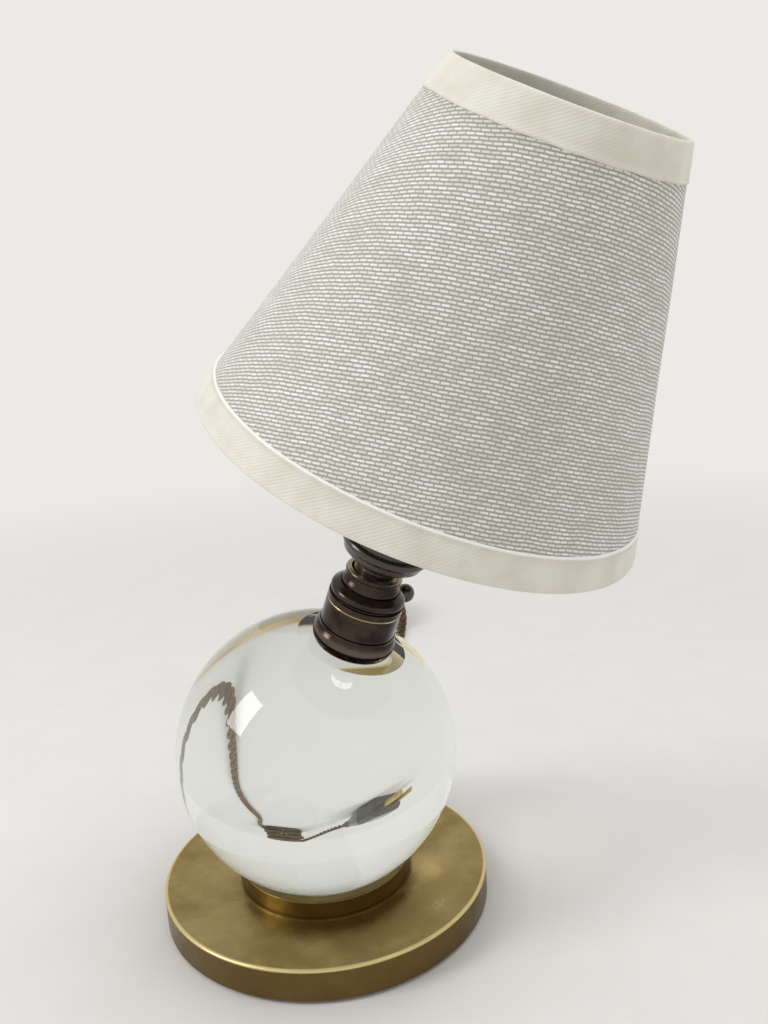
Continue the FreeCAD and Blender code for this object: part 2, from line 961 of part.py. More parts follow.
# Bent wires and cords: straight runs joined by arcs that touch them
def rounded(points, radii, closed=False):
    """A wire through points, with the corner at each inner point rounded to its radius."""
    count = len(points)
    inner_points = range(count) if closed else range(1, count - 1)
    cuts = {}
    for i in inner_points:
        before = (points[i - 1] - points[i]).normalize()
        after = (points[(i + 1) % count] - points[i]).normalize()
        half = before.getAngle(after) / 2
        back = radii[i] / math.tan(half)
        middle = (before + after).normalize() * (radii[i] / math.sin(half) - radii[i])
        cuts[i] = (points[i] + before * back, points[i] + middle, points[i] + after * back)
    edges = []
    here = cuts[0][2] if closed else points[0]
    for i in list(range(1, count)) + ([0] if closed else []):
        there = cuts[i][0] if i in cuts else points[i]
        if (there - here).Length > 0.001:
            edges.append(Part.LineSegment(here, there).toShape())
        if i in cuts:
            edges.append(Part.Arc(*cuts[i]).toShape())
            here = cuts[i][2]
    return Part.Wire(edges)


def tube(path, radius):
    """A round tube along a wire."""
    start = path.Edges[0]
    at = start.valueAt(start.FirstParameter)
    way = start.tangentAt(start.FirstParameter)
    section = Part.Wire(Part.Circle(at, way, radius).toShape())
    shell = Part.BRepOffsetAPI.MakePipeShell(path)
    shell.add(section)
    shell.build()
    shell.makeSolid()
    made = shell.shape()
    want = math.pi * radius ** 2 * path.Length
    print("tube of radius %.2f, length %.1f, volume / section x length %.4f" % (radius, path.Length, made.Volume / want))
    return made


# Clip: two wire loops that grip the bulb, on a plate rolled round the frame's bar
bar_height = size("bar_height")
frame_turn = size("frame_turn")
clip_wire = size("clip_wire")
half = size("loop_half_width")
slope = size("loop_slope")
touch_height = size("loop_touch_height")
touch_reach = size("loop_touch_reach")
frame_wire = size("frame_wire")
roll_radius = size("barrel_roll_radius")
plate_thickness = size("clip_plate_thickness")
plate_bottom = bar_height - roll_radius - plate_thickness / 2


def loop_point(side, y, height):
    """A point of a loop's leg: the legs lean in towards the bar."""
    reach = touch_reach.value - (height - touch_height.value) * math.tan(math.radians(slope.value))
    return Vector(side * reach, y, height)


def clip_frame():
    x, z, tilt = FRAMES["upper"]
    spin = Rotation(Z_AXIS, frame_turn.value)
    return Placement(Vector(x.value, 0, z.value), Rotation(Y_AXIS, tilt.value) * spin)


loop_top = (plate_bottom - clip_wire).value
loop_end = size("loop_bottom").value - half.value * math.cos(math.radians(slope.value))
for label, side in (("clip_loop_front", 1), ("clip_loop_back", -1)):
    y = half.value
    ends = [
        loop_point(side, y, loop_top),
        loop_point(side, -y, loop_top),
        loop_point(side, -y, loop_end),
        loop_point(side, y, loop_end),
    ]
    corner = size("loop_corner").value
    path = rounded(ends, [corner, corner, y * 0.98, y * 0.98], closed=True)
    solid(label, tube(path, clip_wire.value)).Placement = clip_frame()

plate = new_body("clip_plate")
sketch = sketch_on(plate, "plate_outline", "XY_Plane", plate_bottom)
long_half = size("clip_plate_length") / 2
wide_half = size("clip_plate_width") / 2
outline(
    sketch,
    [(-long_half, -wide_half), (long_half, -wide_half), (long_half, wide_half), (-long_half, wide_half)],
)
pad(plate, sketch, plate_thickness, "plate")
roll = sketch_on(plate, "roll_section", "XZ_Plane")
circles(roll, [(0, bar_height, roll_radius)])
rolled = pad(plate, roll, size("barrel_roll_length"), "roll")
rolled.Midplane = True
hole = sketch_on(plate, "bar_hole_section", "XZ_Plane")
circles(hole, [(0, bar_height, frame_wire + fit)])
bored = drill(plate, hole, size("barrel_roll_length") * 2, "bar_hole")
bored.Midplane = True
plate.Placement = clip_frame()

# Shade: wire rings and frame, fabric cone, tapes folded over both edges
shade_bottom = size("shade_bottom")
shade_height = size("shade_height")
shade_top = shade_bottom + shade_height
bottom_radius = size("shade_bottom_radius")
top_radius = size("shade_top_radius")
taper = (bottom_radius - top_radius) / shade_height
wall = size("shade_wall")
tape = size("trim_thickness")
ring_wire = size("ring_wire")


def cone_radius(height):
    """The cover's outer radius at a height."""
    return bottom_radius - (height - shade_bottom) * taper


# The cover is one sheet, drawn as equal panels edge to edge so that its inside stays open
panels = 12
panel_angle = 360 / panels
for number in range(panels):
    panel = new_body("shade_cover_%d" % (number + 1), "upper")
    panel_sketch = turned_sketch(panel, panel.Label + "_section", "XZ_Plane", as_size(panel_angle * number))
    outline(
        panel_sketch,
        [
            (bottom_radius - wall, shade_bottom),
            (bottom_radius, shade_bottom),
            (top_radius, shade_top),
            (top_radius - wall, shade_top),
        ],
    )
    turned = panel.newObject("PartDesign::Revolution", panel.Label + "_turning")
    turned.Profile = panel_sketch
    turned.ReferenceAxis = (panel_sketch, ["V_Axis"])
    turned.Angle = panel_angle


def folded_tape(label, end, width, fold, inward):
    """A tape folded over an edge of the cover; inward is the way from the edge along the cone."""
    outer = end + inward * width
    inner_end = end + inward * fold
    edge_height = end - inward * tape
    turned_piece(
        label,
        [
            (cone_radius(outer), outer),
            (cone_radius(outer) + tape, outer),
            (cone_radius(edge_height) + tape, edge_height),
            (cone_radius(edge_height) - wall - tape, edge_height),
            (cone_radius(inner_end) - wall - tape, inner_end),
            (cone_radius(inner_end) - wall, inner_end),
            (cone_radius(end) - wall, end),
            (cone_radius(end), end),
        ],
        "upper",
    )


fold = size("inner_fold")
folded_tape("bottom_trim", shade_bottom, size("bottom_trim_width"), fold, as_size(1))
folded_tape("top_trim", shade_top, size("top_trim_width"), fold, as_size(-1))

ring_gap = wall + tape + ring_wire + fit
rings = {}
for label, height, way in (("bottom_ring", shade_bottom, 1), ("top_ring", shade_top, -1)):
    level = height + (ring_wire + fit) * way
    ring_piece = doc.addObject("Part::Torus", label)
    ring_piece.Label = label
    ring_piece.setExpression("Radius1", (cone_radius(level) - ring_gap - taper * ring_wire).text)
    ring_piece.setExpression("Radius2", ring_wire.text)
    local = Placement(Vector(0, 0, level.value), Rotation())
    ring_piece.Placement = placement_of("upper") * local
    nodes.append(ring_piece)
    rings[label] = (cone_radius(level) - ring_gap - taper * ring_wire, level)

ring_reach, ring_level = rings["top_ring"]
arm_end = ring_reach.value - ring_wire.value - frame_wire.value
bar_half = size("bar_half_length").value
bend = size("frame_bend").value
path = rounded(
    [
        Vector(0, -arm_end, ring_level.value),
        Vector(0, -bar_half, bar_height.value),
        Vector(0, bar_half, bar_height.value),
        Vector(0, arm_end, ring_level.value),
    ],
    [0, bend, bend, 0],
)
solid("shade_frame", tube(path, frame_wire.value)).Placement = clip_frame()

# Switch spindle, from the knob into the collar's wall
across(
    "switch_spindle",
    "holder",
    knob_angle,
    knob_height,
    [
        (0, size("spindle_root")),
        (spindle_radius, size("spindle_root")),
        (spindle_radius, knob_root),
        (0, knob_root),
    ],
)
collar = doc.getObject("holder_collar")
side_hole(collar, knob_angle, knob_height, spindle_radius + size("running_clearance"), "spindle_hole")

# Flex: down behind the ball, back across the table, into its coil, and on to the plug
flex_radius = size("flex_radius").value
route = Placement(Vector(), Rotation(Z_AXIS, size("route_turn").value))
holder = placement_of("holder")
out = Rotation(Z_AXIS, cord_angle.value).multVec(X_AXIS)
mouth = holder.multVec(out * bush_seat.value + Z_AXIS * cord_height.value)
mouth_way = holder.Rotation.multVec(out)
coil_centre = Vector(size("coil_right").value, size("coil_back").value, 0)
start_radius = size("coil_start_radius").value
pitch = size("coil_pitch").value
layers = int(size("coil_layers").value)
layer_turns = size("coil_layer_turns").value
layer_step = size("coil_layer_step").value
lift = size("coil_lift").value
turns = layers * layer_turns


def coil_point(turn_count):
    """The coil's centre line: spirals in and out, and climbs where the spiral reverses."""
    layer = min(int(turn_count / layer_turns), layers - 1)
    along = turn_count - layer * layer_turns
    drawn = along if layer % 2 == 0 else layer_turns - along
    level = 0.0
    for change in range(1, layers):
        way = (turn_count - change * layer_turns) / 0.5 + 0.5
        way = min(max(way, 0.0), 1.0)
        level += way * way * (3 - 2 * way)
    radius = start_radius - pitch * drawn
    angle = 2 * math.pi * turn_count
    return coil_centre + Vector(radius * math.cos(angle), radius * math.sin(angle), lift + layer_step * level)


def coil_way(turn_count):
    small = 0.0005
    before = max(turn_count - small, 0)
    after = min(turn_count + small, turns)
    way = coil_point(after) - coil_point(before)
    if turn_count in (0, turns):
        way.z = 0
    return way.normalize()


def arc_between(first, knee, last):
    """The arc that touches first-knee and knee-last, which are equally long."""
    middle = (first + last) * 0.5
    angle = (knee - first).getAngle(last - first)
    top = middle + (knee - middle) * (math.cos(angle) / (1 + math.cos(angle)))
    return Part.Arc(first, top, last).toShape()


def biarc(p, p_way, q, q_way):
    """Two arcs that leave p and reach q along the given ways."""
    across_gap = q - p
    ways = p_way + q_way
    a = 2 * (1 - p_way.dot(q_way))
    b = 2 * across_gap.dot(ways)
    c = -across_gap.dot(across_gap)
    reach = -c / b if abs(a) < 1e-9 else (-b + math.sqrt(b * b - 4 * a * c)) / (2 * a)
    first_knee = p + p_way * reach
    last_knee = q - q_way * reach
    meet = (first_knee + last_knee) * 0.5
    return [arc_between(p, first_knee, meet), arc_between(meet, last_knee, q)]


steps = [i / 4 for i in range(int(turns * 4) + 1)]
places = [coil_point(i) for i in steps]
ways = [coil_way(i) for i in steps]
edges = [Part.LineSegment(places[0] - ways[0] * flex_radius * 2, places[0]).toShape()]
for i in range(len(steps) - 1):
    edges += biarc(places[i], ways[i], places[i + 1], ways[i + 1])
edges.append(Part.LineSegment(places[-1], places[-1] + ways[-1] * flex_radius * 2).toShape())
coil_wire = Part.Wire(edges)
coil_wire.Placement = route
coil_in = route.multVec(places[0] - ways[0] * flex_radius * 2)
coil_out = route.multVec(places[-1] + ways[-1] * flex_radius * 2)

marks = coil_wire.discretize(Number=1600)
spacing = coil_wire.Length / 1599
apart = int(math.pi * flex_radius * 2.5 / spacing)
least = min(
    (marks[i] - marks[j]).Length for i in range(0, 1600, 2) for j in range(i + apart, 1600, 2)
)
print("coil: %.1f turns, length %.0f, least gap to itself %.2f" % (turns, coil_wire.Length, least - 2 * flex_radius))
solid("flex_coil", tube(coil_wire, flex_radius))


def cord(label, points):
    """A free stretch of the flex, each corner rounded as far as its two runs allow."""
    radii = [0]
    for i in range(1, len(points) - 1):
        before = points[i] - points[i - 1]
        after = points[i + 1] - points[i]
        turned_by = before.getAngle(after)
        radii.append(0.45 * min(before.Length, after.Length) / math.tan(turned_by / 2))
    radii.append(0)
    print(label, "radii", " ".join("%.0f" % r for r in radii[1:-1]))
    path = rounded(points, radii)
    solid(label, tube(path, flex_radius))
    return path.Length


drop_points = [
    (36.2, 11.7, 106.0),
    (37.4, 18.6, 98.6),
    (36.2, 30.8, 89.0),
    (33.6, 42.8, 74.4),
    (29.2, 51.4, 57.0),
    (24.4, 57.4, 39.0),
    (19.4, 63.0, 22.8),
    (14.6, 73.0, 9.6),
    (12.0, 89.0, 2.9),
    (15.0, 112.0, 2.05),
    (25.0, 141.0, 2.1),
    (28.5, 174.0, 2.05),
    (27.0, 205.0, 2.1),
    (30.5, 237.0, 2.05),
    (34.6, 262.0, 2.1),
]
coil_in_way = route.Rotation.multVec(ways[0])
coil_out_way = route.Rotation.multVec(ways[-1])
drop = [mouth, mouth + mouth_way * 6] + [route.multVec(Vector(*p)) for p in drop_points]
drop += [coil_in - coil_in_way * 14, coil_in]
drop_length = cord("flex_drop", drop)

tail_points = [
    (-22.5, 266.0, 12.5),
    (-26.0, 248.0, 8.0),
    (-31.5, 234.0, 6.8),
]
plug_entry = Vector(-38.0, 221.0, 6.8)
tail = [coil_out, coil_out + coil_out_way * 10] + [route.multVec(Vector(*p)) for p in tail_points] + [route.multVec(plug_entry)]
tail_length = cord("flex_tail", tail)
print("flex length %.0f" % (drop_length + coil_wire.Length + tail_length))

# Flat two-pin plug
plug_way = Vector(*tail_points[-1]) - plug_entry
plug_turn = math.degrees(math.atan2(-plug_way.x, plug_way.y))
plug_place = route * Placement(Vector(plug_entry.x, plug_entry.y, 0), Rotation(Z_AXIS, plug_turn))
plug_length = size("plug_length")
plug_thickness = size("plug_thickness")
plug_half = size("plug_width") / 2
tail_half = size("plug_tail_width") / 2
tail_thickness = size("plug_tail_thickness")
neck_length = size("plug_neck_length")
plug_level = plug_thickness / 2


def plug_section(body, name, wide_half, thickness, back):
    sketch = body.newObject("Sketcher::SketchObject", name)
    sketch.AttachmentSupport = [(plane(body, "XZ_Plane"), "")]
    sketch.MapMode = "FlatFace"
    sketch.AttachmentOffset = Placement(Vector(0, 0, back.value), Rotation())
    sketch.setExpression("AttachmentOffset.Base.z", back.text)
    low = plug_level - thickness / 2
    high = plug_level + thickness / 2
    cut = thickness * 0.22
    outline(
        sketch,
        [
            (-wide_half + cut, low),
            (wide_half - cut, low),
            (wide_half, low + cut),
            (wide_half, high - cut),
            (wide_half - cut, high),
            (-wide_half + cut, high),
            (-wide_half, high - cut),
            (-wide_half, low + cut),
        ],
    )
    return sketch


plug = new_body("plug_body")
far = neck_length + plug_length
front = plug_section(plug, "plug_face", plug_half, plug_thickness, far)
waist = plug_section(plug, "plug_waist", plug_half - as_size(1.5), plug_thickness, far - plug_length * 0.45)
rear = plug_section(plug, "plug_rear", tail_half, tail_thickness, neck_length)
moulding = plug.newObject("PartDesign::AdditiveLoft", "plug_moulding")
moulding.Profile = front
moulding.Sections = [waist, rear]
moulding.Ruled = True
neck = sketch_on(plug, "plug_neck_section", "XZ_Plane", neck_length)
circles(neck, [(0, plug_level, size("plug_neck_radius"))])
sleeve = pad(plug, neck, neck_length, "neck")
sleeve.Reversed = True
plug.Placement = plug_place

for label, way in (("plug_pin_left", 1), ("plug_pin_right", -1)):
    pin = doc.addObject("Part::Cylinder", label)
    pin.Label = label
    pin.setExpression("Radius", size("plug_pin_radius").text)
    pin.setExpression("Height", size("plug_pin_length").text)
    reach = Vector(size("plug_pin_spacing").value / 2 * way, -far.value, plug_level.value)
    pin.Placement = plug_place * Placement(reach, Rotation(Z_AXIS, -Y_AXIS))
    nodes.append(pin)

doc.recompute()
for thing in doc.Objects:
    if "Invalid" in thing.State or "Error" in thing.State:
        raise SystemExit("%s failed: %s" % (thing.Label, thing.State))
for node in nodes:
    if node.Shape.isNull() or not node.Shape.isValid() or node.Shape.Volume < 0.01:
        raise SystemExit("%s has no valid shape" % node.Label)

os.makedirs("parts", exist_ok=True)
for node in nodes:
    node.Shape.exportStep("parts/%s.step" % node.Label)
print("%d pieces" % len(nodes))
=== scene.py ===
"""Looks for the glass globe table lamp.

A solid glass ball sits on a brass foot and carries a leaning bronzed lampholder with a clip-on fabric
shade. A twisted flex drops behind the ball and lies coiled behind the lamp. Sizes and places are in mm.
"""

import math
import random

import bmesh
import bpy
from mathutils import Matrix, Vector, noise


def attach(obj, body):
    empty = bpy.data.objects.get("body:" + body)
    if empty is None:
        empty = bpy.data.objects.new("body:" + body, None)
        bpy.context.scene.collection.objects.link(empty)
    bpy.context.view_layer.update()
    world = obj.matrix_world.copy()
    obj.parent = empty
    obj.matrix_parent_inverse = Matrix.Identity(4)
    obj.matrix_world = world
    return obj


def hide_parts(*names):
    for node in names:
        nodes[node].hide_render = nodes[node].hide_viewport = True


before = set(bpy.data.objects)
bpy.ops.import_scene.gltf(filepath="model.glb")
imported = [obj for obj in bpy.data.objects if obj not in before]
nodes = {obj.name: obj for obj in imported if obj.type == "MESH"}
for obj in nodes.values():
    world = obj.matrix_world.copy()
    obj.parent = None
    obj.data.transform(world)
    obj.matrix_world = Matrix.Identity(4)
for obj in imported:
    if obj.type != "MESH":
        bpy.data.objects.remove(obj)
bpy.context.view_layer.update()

MM = 0.001

# Places: the holder leans from the ball's centre, and the shade leans a little more from the holder's pins

BALL_CENTRE = Vector((0, 0, 59))
HOLDER_LEAN = math.radians(22.6)
HOLDER_AXIS = Vector((math.sin(HOLDER_LEAN), 0, math.cos(HOLDER_LEAN)))
PINS = BALL_CENTRE + HOLDER_AXIS * 70.5
SHADE_LEAN = math.radians(26.6)
SHADE_AXIS = Vector((math.sin(SHADE_LEAN), 0, math.cos(SHADE_LEAN)))
ACROSS = Vector((0, 1, 0))
SHADE_SIDE = ACROSS.cross(SHADE_AXIS)


def shade_point(radius, angle, height):
    """A point in mm at a radius, angle and height about the shade's own axis."""
    return (
        PINS
        + SHADE_AXIS * height
        + SHADE_SIDE * (radius * math.cos(angle))
        + ACROSS * (radius * math.sin(angle))
    )


# Finishes


def hex_linear(code):
    """The linear colour of an sRGB hex value."""
    parts = [int(code[i : i + 2], 16) / 255 for i in (1, 3, 5)]
    return tuple(p / 12.92 if p <= 0.04045 else ((p + 0.055) / 1.055) ** 2.4 for p in parts) + (1.0,)


def add(tree, kind, inputs=None, **settings):
    """Add one node, with its settings, and each input's value or link."""
    node = tree.nodes.new("ShaderNode" + kind)
    for name, value in settings.items():
        setattr(node, name, value)
    for name, value in (inputs or {}).items():
        if isinstance(value, bpy.types.NodeSocket):
            tree.links.new(value, node.inputs[name])
        else:
            node.inputs[name].default_value = value
    return node


def finish_of(name, **sockets):
    """A new material, with the numbers and colours that are the same all over."""
    made = bpy.data.materials.new(name)
    made.use_nodes = True
    tree = made.node_tree
    shader = tree.nodes["Principled BSDF"]
    for socket, value in sockets.items():
        shader.inputs[socket.replace("_", " ")].default_value = value
    return made, tree, shader


def mixed(tree, factor, first, second):
    """The second colour over the first, by a factor."""
    return add(tree, "Mix", {0: factor, 6: first, 7: second}, data_type="RGBA").outputs[2]


def ranged(tree, value, low, high, to_low, to_high):
    """A value carried smoothly from one range to another."""
    inputs = {"Value": value, "From Min": low, "From Max": high, "To Min": to_low, "To Max": to_high}
    return add(tree, "MapRange", inputs, interpolation_type="SMOOTHSTEP").outputs[0]


def maths(tree, operation, *values):
    """One sum on numbers or links."""
    return add(tree, "Math", dict(enumerate(values)), operation=operation).outputs[0]


def here(tree):
    """The place on the piece, in mm."""
    place = add(tree, "TexCoord").outputs["Object"]
    return add(tree, "VectorMath", {0: place, 3: 1000.0}, operation="SCALE").outputs[0]


def speckle(tree, place, size, detail=3.0, roughness=0.6):
    """Soft blotches of about the given size in mm."""
    inputs = {"Vector": place, "Scale": 1 / size, "Detail": detail, "Roughness": roughness}
    return add(tree, "TexNoise", inputs).outputs["Fac"]


def bumped(tree, shader, height, depth, strength=1.0):
    """Raise the surface by a height from 0 to 1, depth in mm."""
    inputs = {"Height": height, "Distance": depth * MM, "Strength": strength}
    tree.links.new(add(tree, "Bump", inputs).outputs[0], shader.inputs["Normal"])


def along(tree, place, start, way):
    """How far a place is along a line, in mm."""
    offset = add(tree, "VectorMath", {0: place, 1: tuple(start)}, operation="SUBTRACT").outputs[0]
    return add(tree, "VectorMath", {0: offset, 1: tuple(way)}, operation="DOT_PRODUCT").outputs["Value"]


# Where the painted shade and highlight on the brass begin: the foot's edge, top and seat ring
FOOT_EDGE = 58.2
FOOT_TOP = 12.0
SEAT_RADIUS = 32.0
SEAT_FOOT = 10.5
LATHE_LINE = 0.5


def aged_brass():
    """Spun brass, lacquered and gone dull: olive gold on top, painted shade browner on the side and seat
    ring, a painted highlight at the rim.
    """
    made, tree, shader = finish_of("spun aged brass", Metallic=1.0, Roughness=0.34)
    place = here(tree)
    split = add(tree, "SeparateXYZ", {0: place})
    height = split.outputs[2]
    flat = add(tree, "CombineXYZ", {0: split.outputs[0], 1: split.outputs[1]}).outputs[0]
    out = add(tree, "VectorMath", {0: flat}, operation="LENGTH").outputs["Value"]
    cloud = speckle(tree, place, 26.0, 4.0)
    cloud = ranged(tree, cloud, 0.36, 0.66, 0.0, 1.0)
    gold = mixed(tree, cloud, hex_linear("#A59160"), hex_linear("#8C7747"))
    spots = ranged(tree, speckle(tree, place, 1.6, 2.0), 0.66, 0.74, 0.0, 0.55)
    gold = mixed(tree, spots, gold, hex_linear("#6E5A36"))
    # painted shade and reflection: the foot's side, outside its rounded edge and under its top, painted
    # darker brown
    beyond = ranged(tree, out, FOOT_EDGE, FOOT_EDGE + 0.6, 0.0, 0.75)
    side = maths(tree, "MULTIPLY", beyond, ranged(tree, height, FOOT_TOP - 0.4, FOOT_TOP + 0.2, 1.0, 0.0))
    gold = mixed(tree, side, gold, hex_linear("#5F4A28"))
    # painted shade: the seat ring, which stands in the foot's dish, painted darker
    within = ranged(tree, out, SEAT_RADIUS - 0.1, SEAT_RADIUS + 0.4, 1.0, 0.0)
    seat = maths(tree, "MULTIPLY", within, ranged(tree, height, SEAT_FOOT, SEAT_FOOT + 0.4, 0.0, 0.85))
    gold = mixed(tree, seat, gold, hex_linear("#6A5A35"))
    # a painted highlight along the edge itself
    near = ranged(tree, out, FOOT_EDGE - 0.5, FOOT_EDGE, 0.0, 1.0)
    rim = maths(tree, "MULTIPLY", near, ranged(tree, height, FOOT_TOP - 0.5, FOOT_TOP, 0.0, 1.0))
    gold = mixed(tree, maths(tree, "MULTIPLY", rim, 0.8), gold, hex_linear("#E2CE96"))
    tree.links.new(gold, shader.inputs["Base Color"])
    haze = ranged(tree, speckle(tree, place, 9.0, 5.0), 0.3, 0.7, 0.27, 0.44)
    tree.links.new(haze, shader.inputs["Roughness"])
    # lathe lines, drawn coarser than the real ones so that they show
    lines = maths(tree, "SINE", maths(tree, "MULTIPLY", out, 2 * math.pi / LATHE_LINE))
    fine = maths(tree, "ADD", maths(tree, "MULTIPLY", lines, 0.3), speckle(tree, place, 0.9, 4.0))
    bumped(tree, shader, fine, 0.012, 0.6)
    return made


# Heights of the painted highlights along the holder, from the ball's centre
COLLAR_SEAM = 62.35
CUP_MOUTH = 74.75
FLANGE_BEAD = 50.2


def bronzed_brass():
    """Spun brass, chemically bronzed: near-black brown, with painted highlights as pale lines on its seam,
    mouth and bead.
    """
    made, tree, shader = finish_of("bronzed brass", Metallic=1.0)
    place = here(tree)
    height = along(tree, place, BALL_CENTRE, HOLDER_AXIS)
    cloud = ranged(tree, speckle(tree, place, 7.0, 5.0), 0.35, 0.68, 0.0, 1.0)
    dark = mixed(tree, cloud, hex_linear("#463C35"), hex_linear("#2E2621"))
    # painted highlights: pale lines at the collar's seam and the cup's mouth, and a softer band on the
    # flange's bead
    seam = maths(tree, "ABSOLUTE", maths(tree, "SUBTRACT", height, COLLAR_SEAM))
    dark = mixed(tree, ranged(tree, seam, 0.16, 0.38, 0.9, 0.0), dark, hex_linear("#D8C7A0"))
    mouth = maths(tree, "ABSOLUTE", maths(tree, "SUBTRACT", height, CUP_MOUTH))
    dark = mixed(tree, ranged(tree, mouth, 0.1, 0.3, 0.6, 0.0), dark, hex_linear("#BDAF92"))
    bead = maths(tree, "ABSOLUTE", maths(tree, "SUBTRACT", height, FLANGE_BEAD))
    dark = mixed(tree, ranged(tree, bead, 0.4, 2.2, 0.45, 0.0), dark, hex_linear("#7C7168"))
    tree.links.new(dark, shader.inputs["Base Color"])
    haze = ranged(tree, speckle(tree, place, 2.4, 6.0), 0.3, 0.7, 0.11, 0.25)
    tree.links.new(haze, shader.inputs["Roughness"])
    bumped(tree, shader, speckle(tree, place, 1.3, 4.0), 0.02, 0.5)
    return made


def plain_metal(name, colour, worn, roughness):
    """Drawn or turned metal: one colour with duller patches and a fine grain."""
    made, tree, shader = finish_of(name, Metallic=1.0)
    place = here(tree)
    cloud = ranged(tree, speckle(tree, place, 4.0, 4.0), 0.35, 0.7, 0.0, 1.0)
    tree.links.new(mixed(tree, cloud, hex_linear(colour), hex_linear(worn)), shader.inputs["Base Color"])
    patches = ranged(tree, speckle(tree, place, 1.5, 5.0), 0.3, 0.7, roughness * 0.75, roughness * 1.35)
    tree.links.new(patches, shader.inputs["Roughness"])
    bumped(tree, shader, speckle(tree, place, 0.5, 3.0), 0.01, 0.5)
    return made


def moulding(name, colour, scuffed, roughness):
    """Moulded phenolic: hard and glossy, a little cloudy, with dust-fine pits."""
    made, tree, shader = finish_of(name, IOR=1.6, Coat_Weight=0.3, Coat_Roughness=0.12)
    place = here(tree)
    cloud = ranged(tree, speckle(tree, place, 5.0, 5.0), 0.4, 0.75, 0.0, 1.0)
    tree.links.new(mixed(tree, cloud, hex_linear(colour), hex_linear(scuffed)), shader.inputs["Base Color"])
    patches = ranged(tree, speckle(tree, place, 2.0, 4.0), 0.3, 0.7, roughness * 0.8, roughness * 1.3)
    tree.links.new(patches, shader.inputs["Roughness"])
    bumped(tree, shader, speckle(tree, place, 0.8, 3.0), 0.015, 0.5)
    return made


def polished_crystal():
    """Solid optical glass, ground and polished: clear with a breath of grey-green."""
    tint = hex_linear("#F3F7F3")
    sockets = {"Base_Color": tint, "IOR": 1.52, "Transmission_Weight": 1.0, "Roughness": 0.0}
    return finish_of("polished crystal glass", **sockets)[0]


def pressed_felt():
    """Wool felt pressed flat: matt dark green with matted tufts of fibre about 0.5 mm across."""
    sockets = {"Roughness": 0.95, "Sheen_Weight": 0.4, "Sheen_Roughness": 0.5}
    made, tree, shader = finish_of("pressed wool felt", **sockets)
    place = here(tree)
    fibres = speckle(tree, place, 0.5, 6.0, 0.75)
    green = mixed(tree, fibres, hex_linear("#232E26"), hex_linear("#435244"))
    tree.links.new(green, shader.inputs["Base Color"])
    bumped(tree, shader, fibres, 0.3)
    return made


CORK_GRAIN = 1.2


def ground_cork():
    """Agglomerated cork: tan granules with dark joints."""
    made, tree, shader = finish_of("ground cork", Roughness=0.85)
    place = here(tree)
    grains = add(tree, "TexVoronoi", {"Vector": place, "Scale": 1 / CORK_GRAIN})
    tint = add(tree, "SeparateColor", {0: grains.outputs["Color"]}).outputs[0]
    tan = mixed(tree, tint, hex_linear("#A67C4E"), hex_linear("#C39B68"))
    joints = ranged(tree, grains.outputs["Distance"], 0.35, 0.7, 0.0, 0.6)
    tree.links.new(mixed(tree, joints, tan, hex_linear("#5F4226")), shader.inputs["Base Color"])
    bumped(tree, shader, grains.outputs["Distance"], 0.08)
    return made


def pearl_glass():
    """Blown bulb glass, etched inside: milky white and softly glossy."""
    made, tree, shader = finish_of(
        "pearl bulb glass",
        Base_Color=hex_linear("#F4F1E9"),
        IOR=1.5,
        Transmission_Weight=0.35,
        Roughness=0.3,
        Coat_Weight=0.6,
        Coat_Roughness=0.05,
    )
    place = here(tree)
    bumped(tree, shader, speckle(tree, place, 0.6, 3.0), 0.01, 0.4)
    return made


# The cloth's weft floats and rows, and how far it was cut off its thread
FLOAT_LENGTH = 2.52
ROW_PITCH = 1.07
OFF_THREAD = math.radians(2.8)
# a wave node's bands are this far apart at scale 1
WAVE_BAND = 0.314159


def waves(tree, place, pitch, distortion=0.0):
    """Soft bands a pitch apart, in mm, across the second axis."""
    inputs = {"Vector": place, "Scale": WAVE_BAND / pitch, "Distortion": distortion}
    return add(tree, "TexWave", inputs, bands_direction="Y").outputs["Fac"]


def patchy(tree, place, scale, detail):
    """Soft patches on a flat sheet."""
    return add(tree, "TexNoise", {"Vector": place, "Scale": scale, "Detail": detail}).outputs["Fac"]


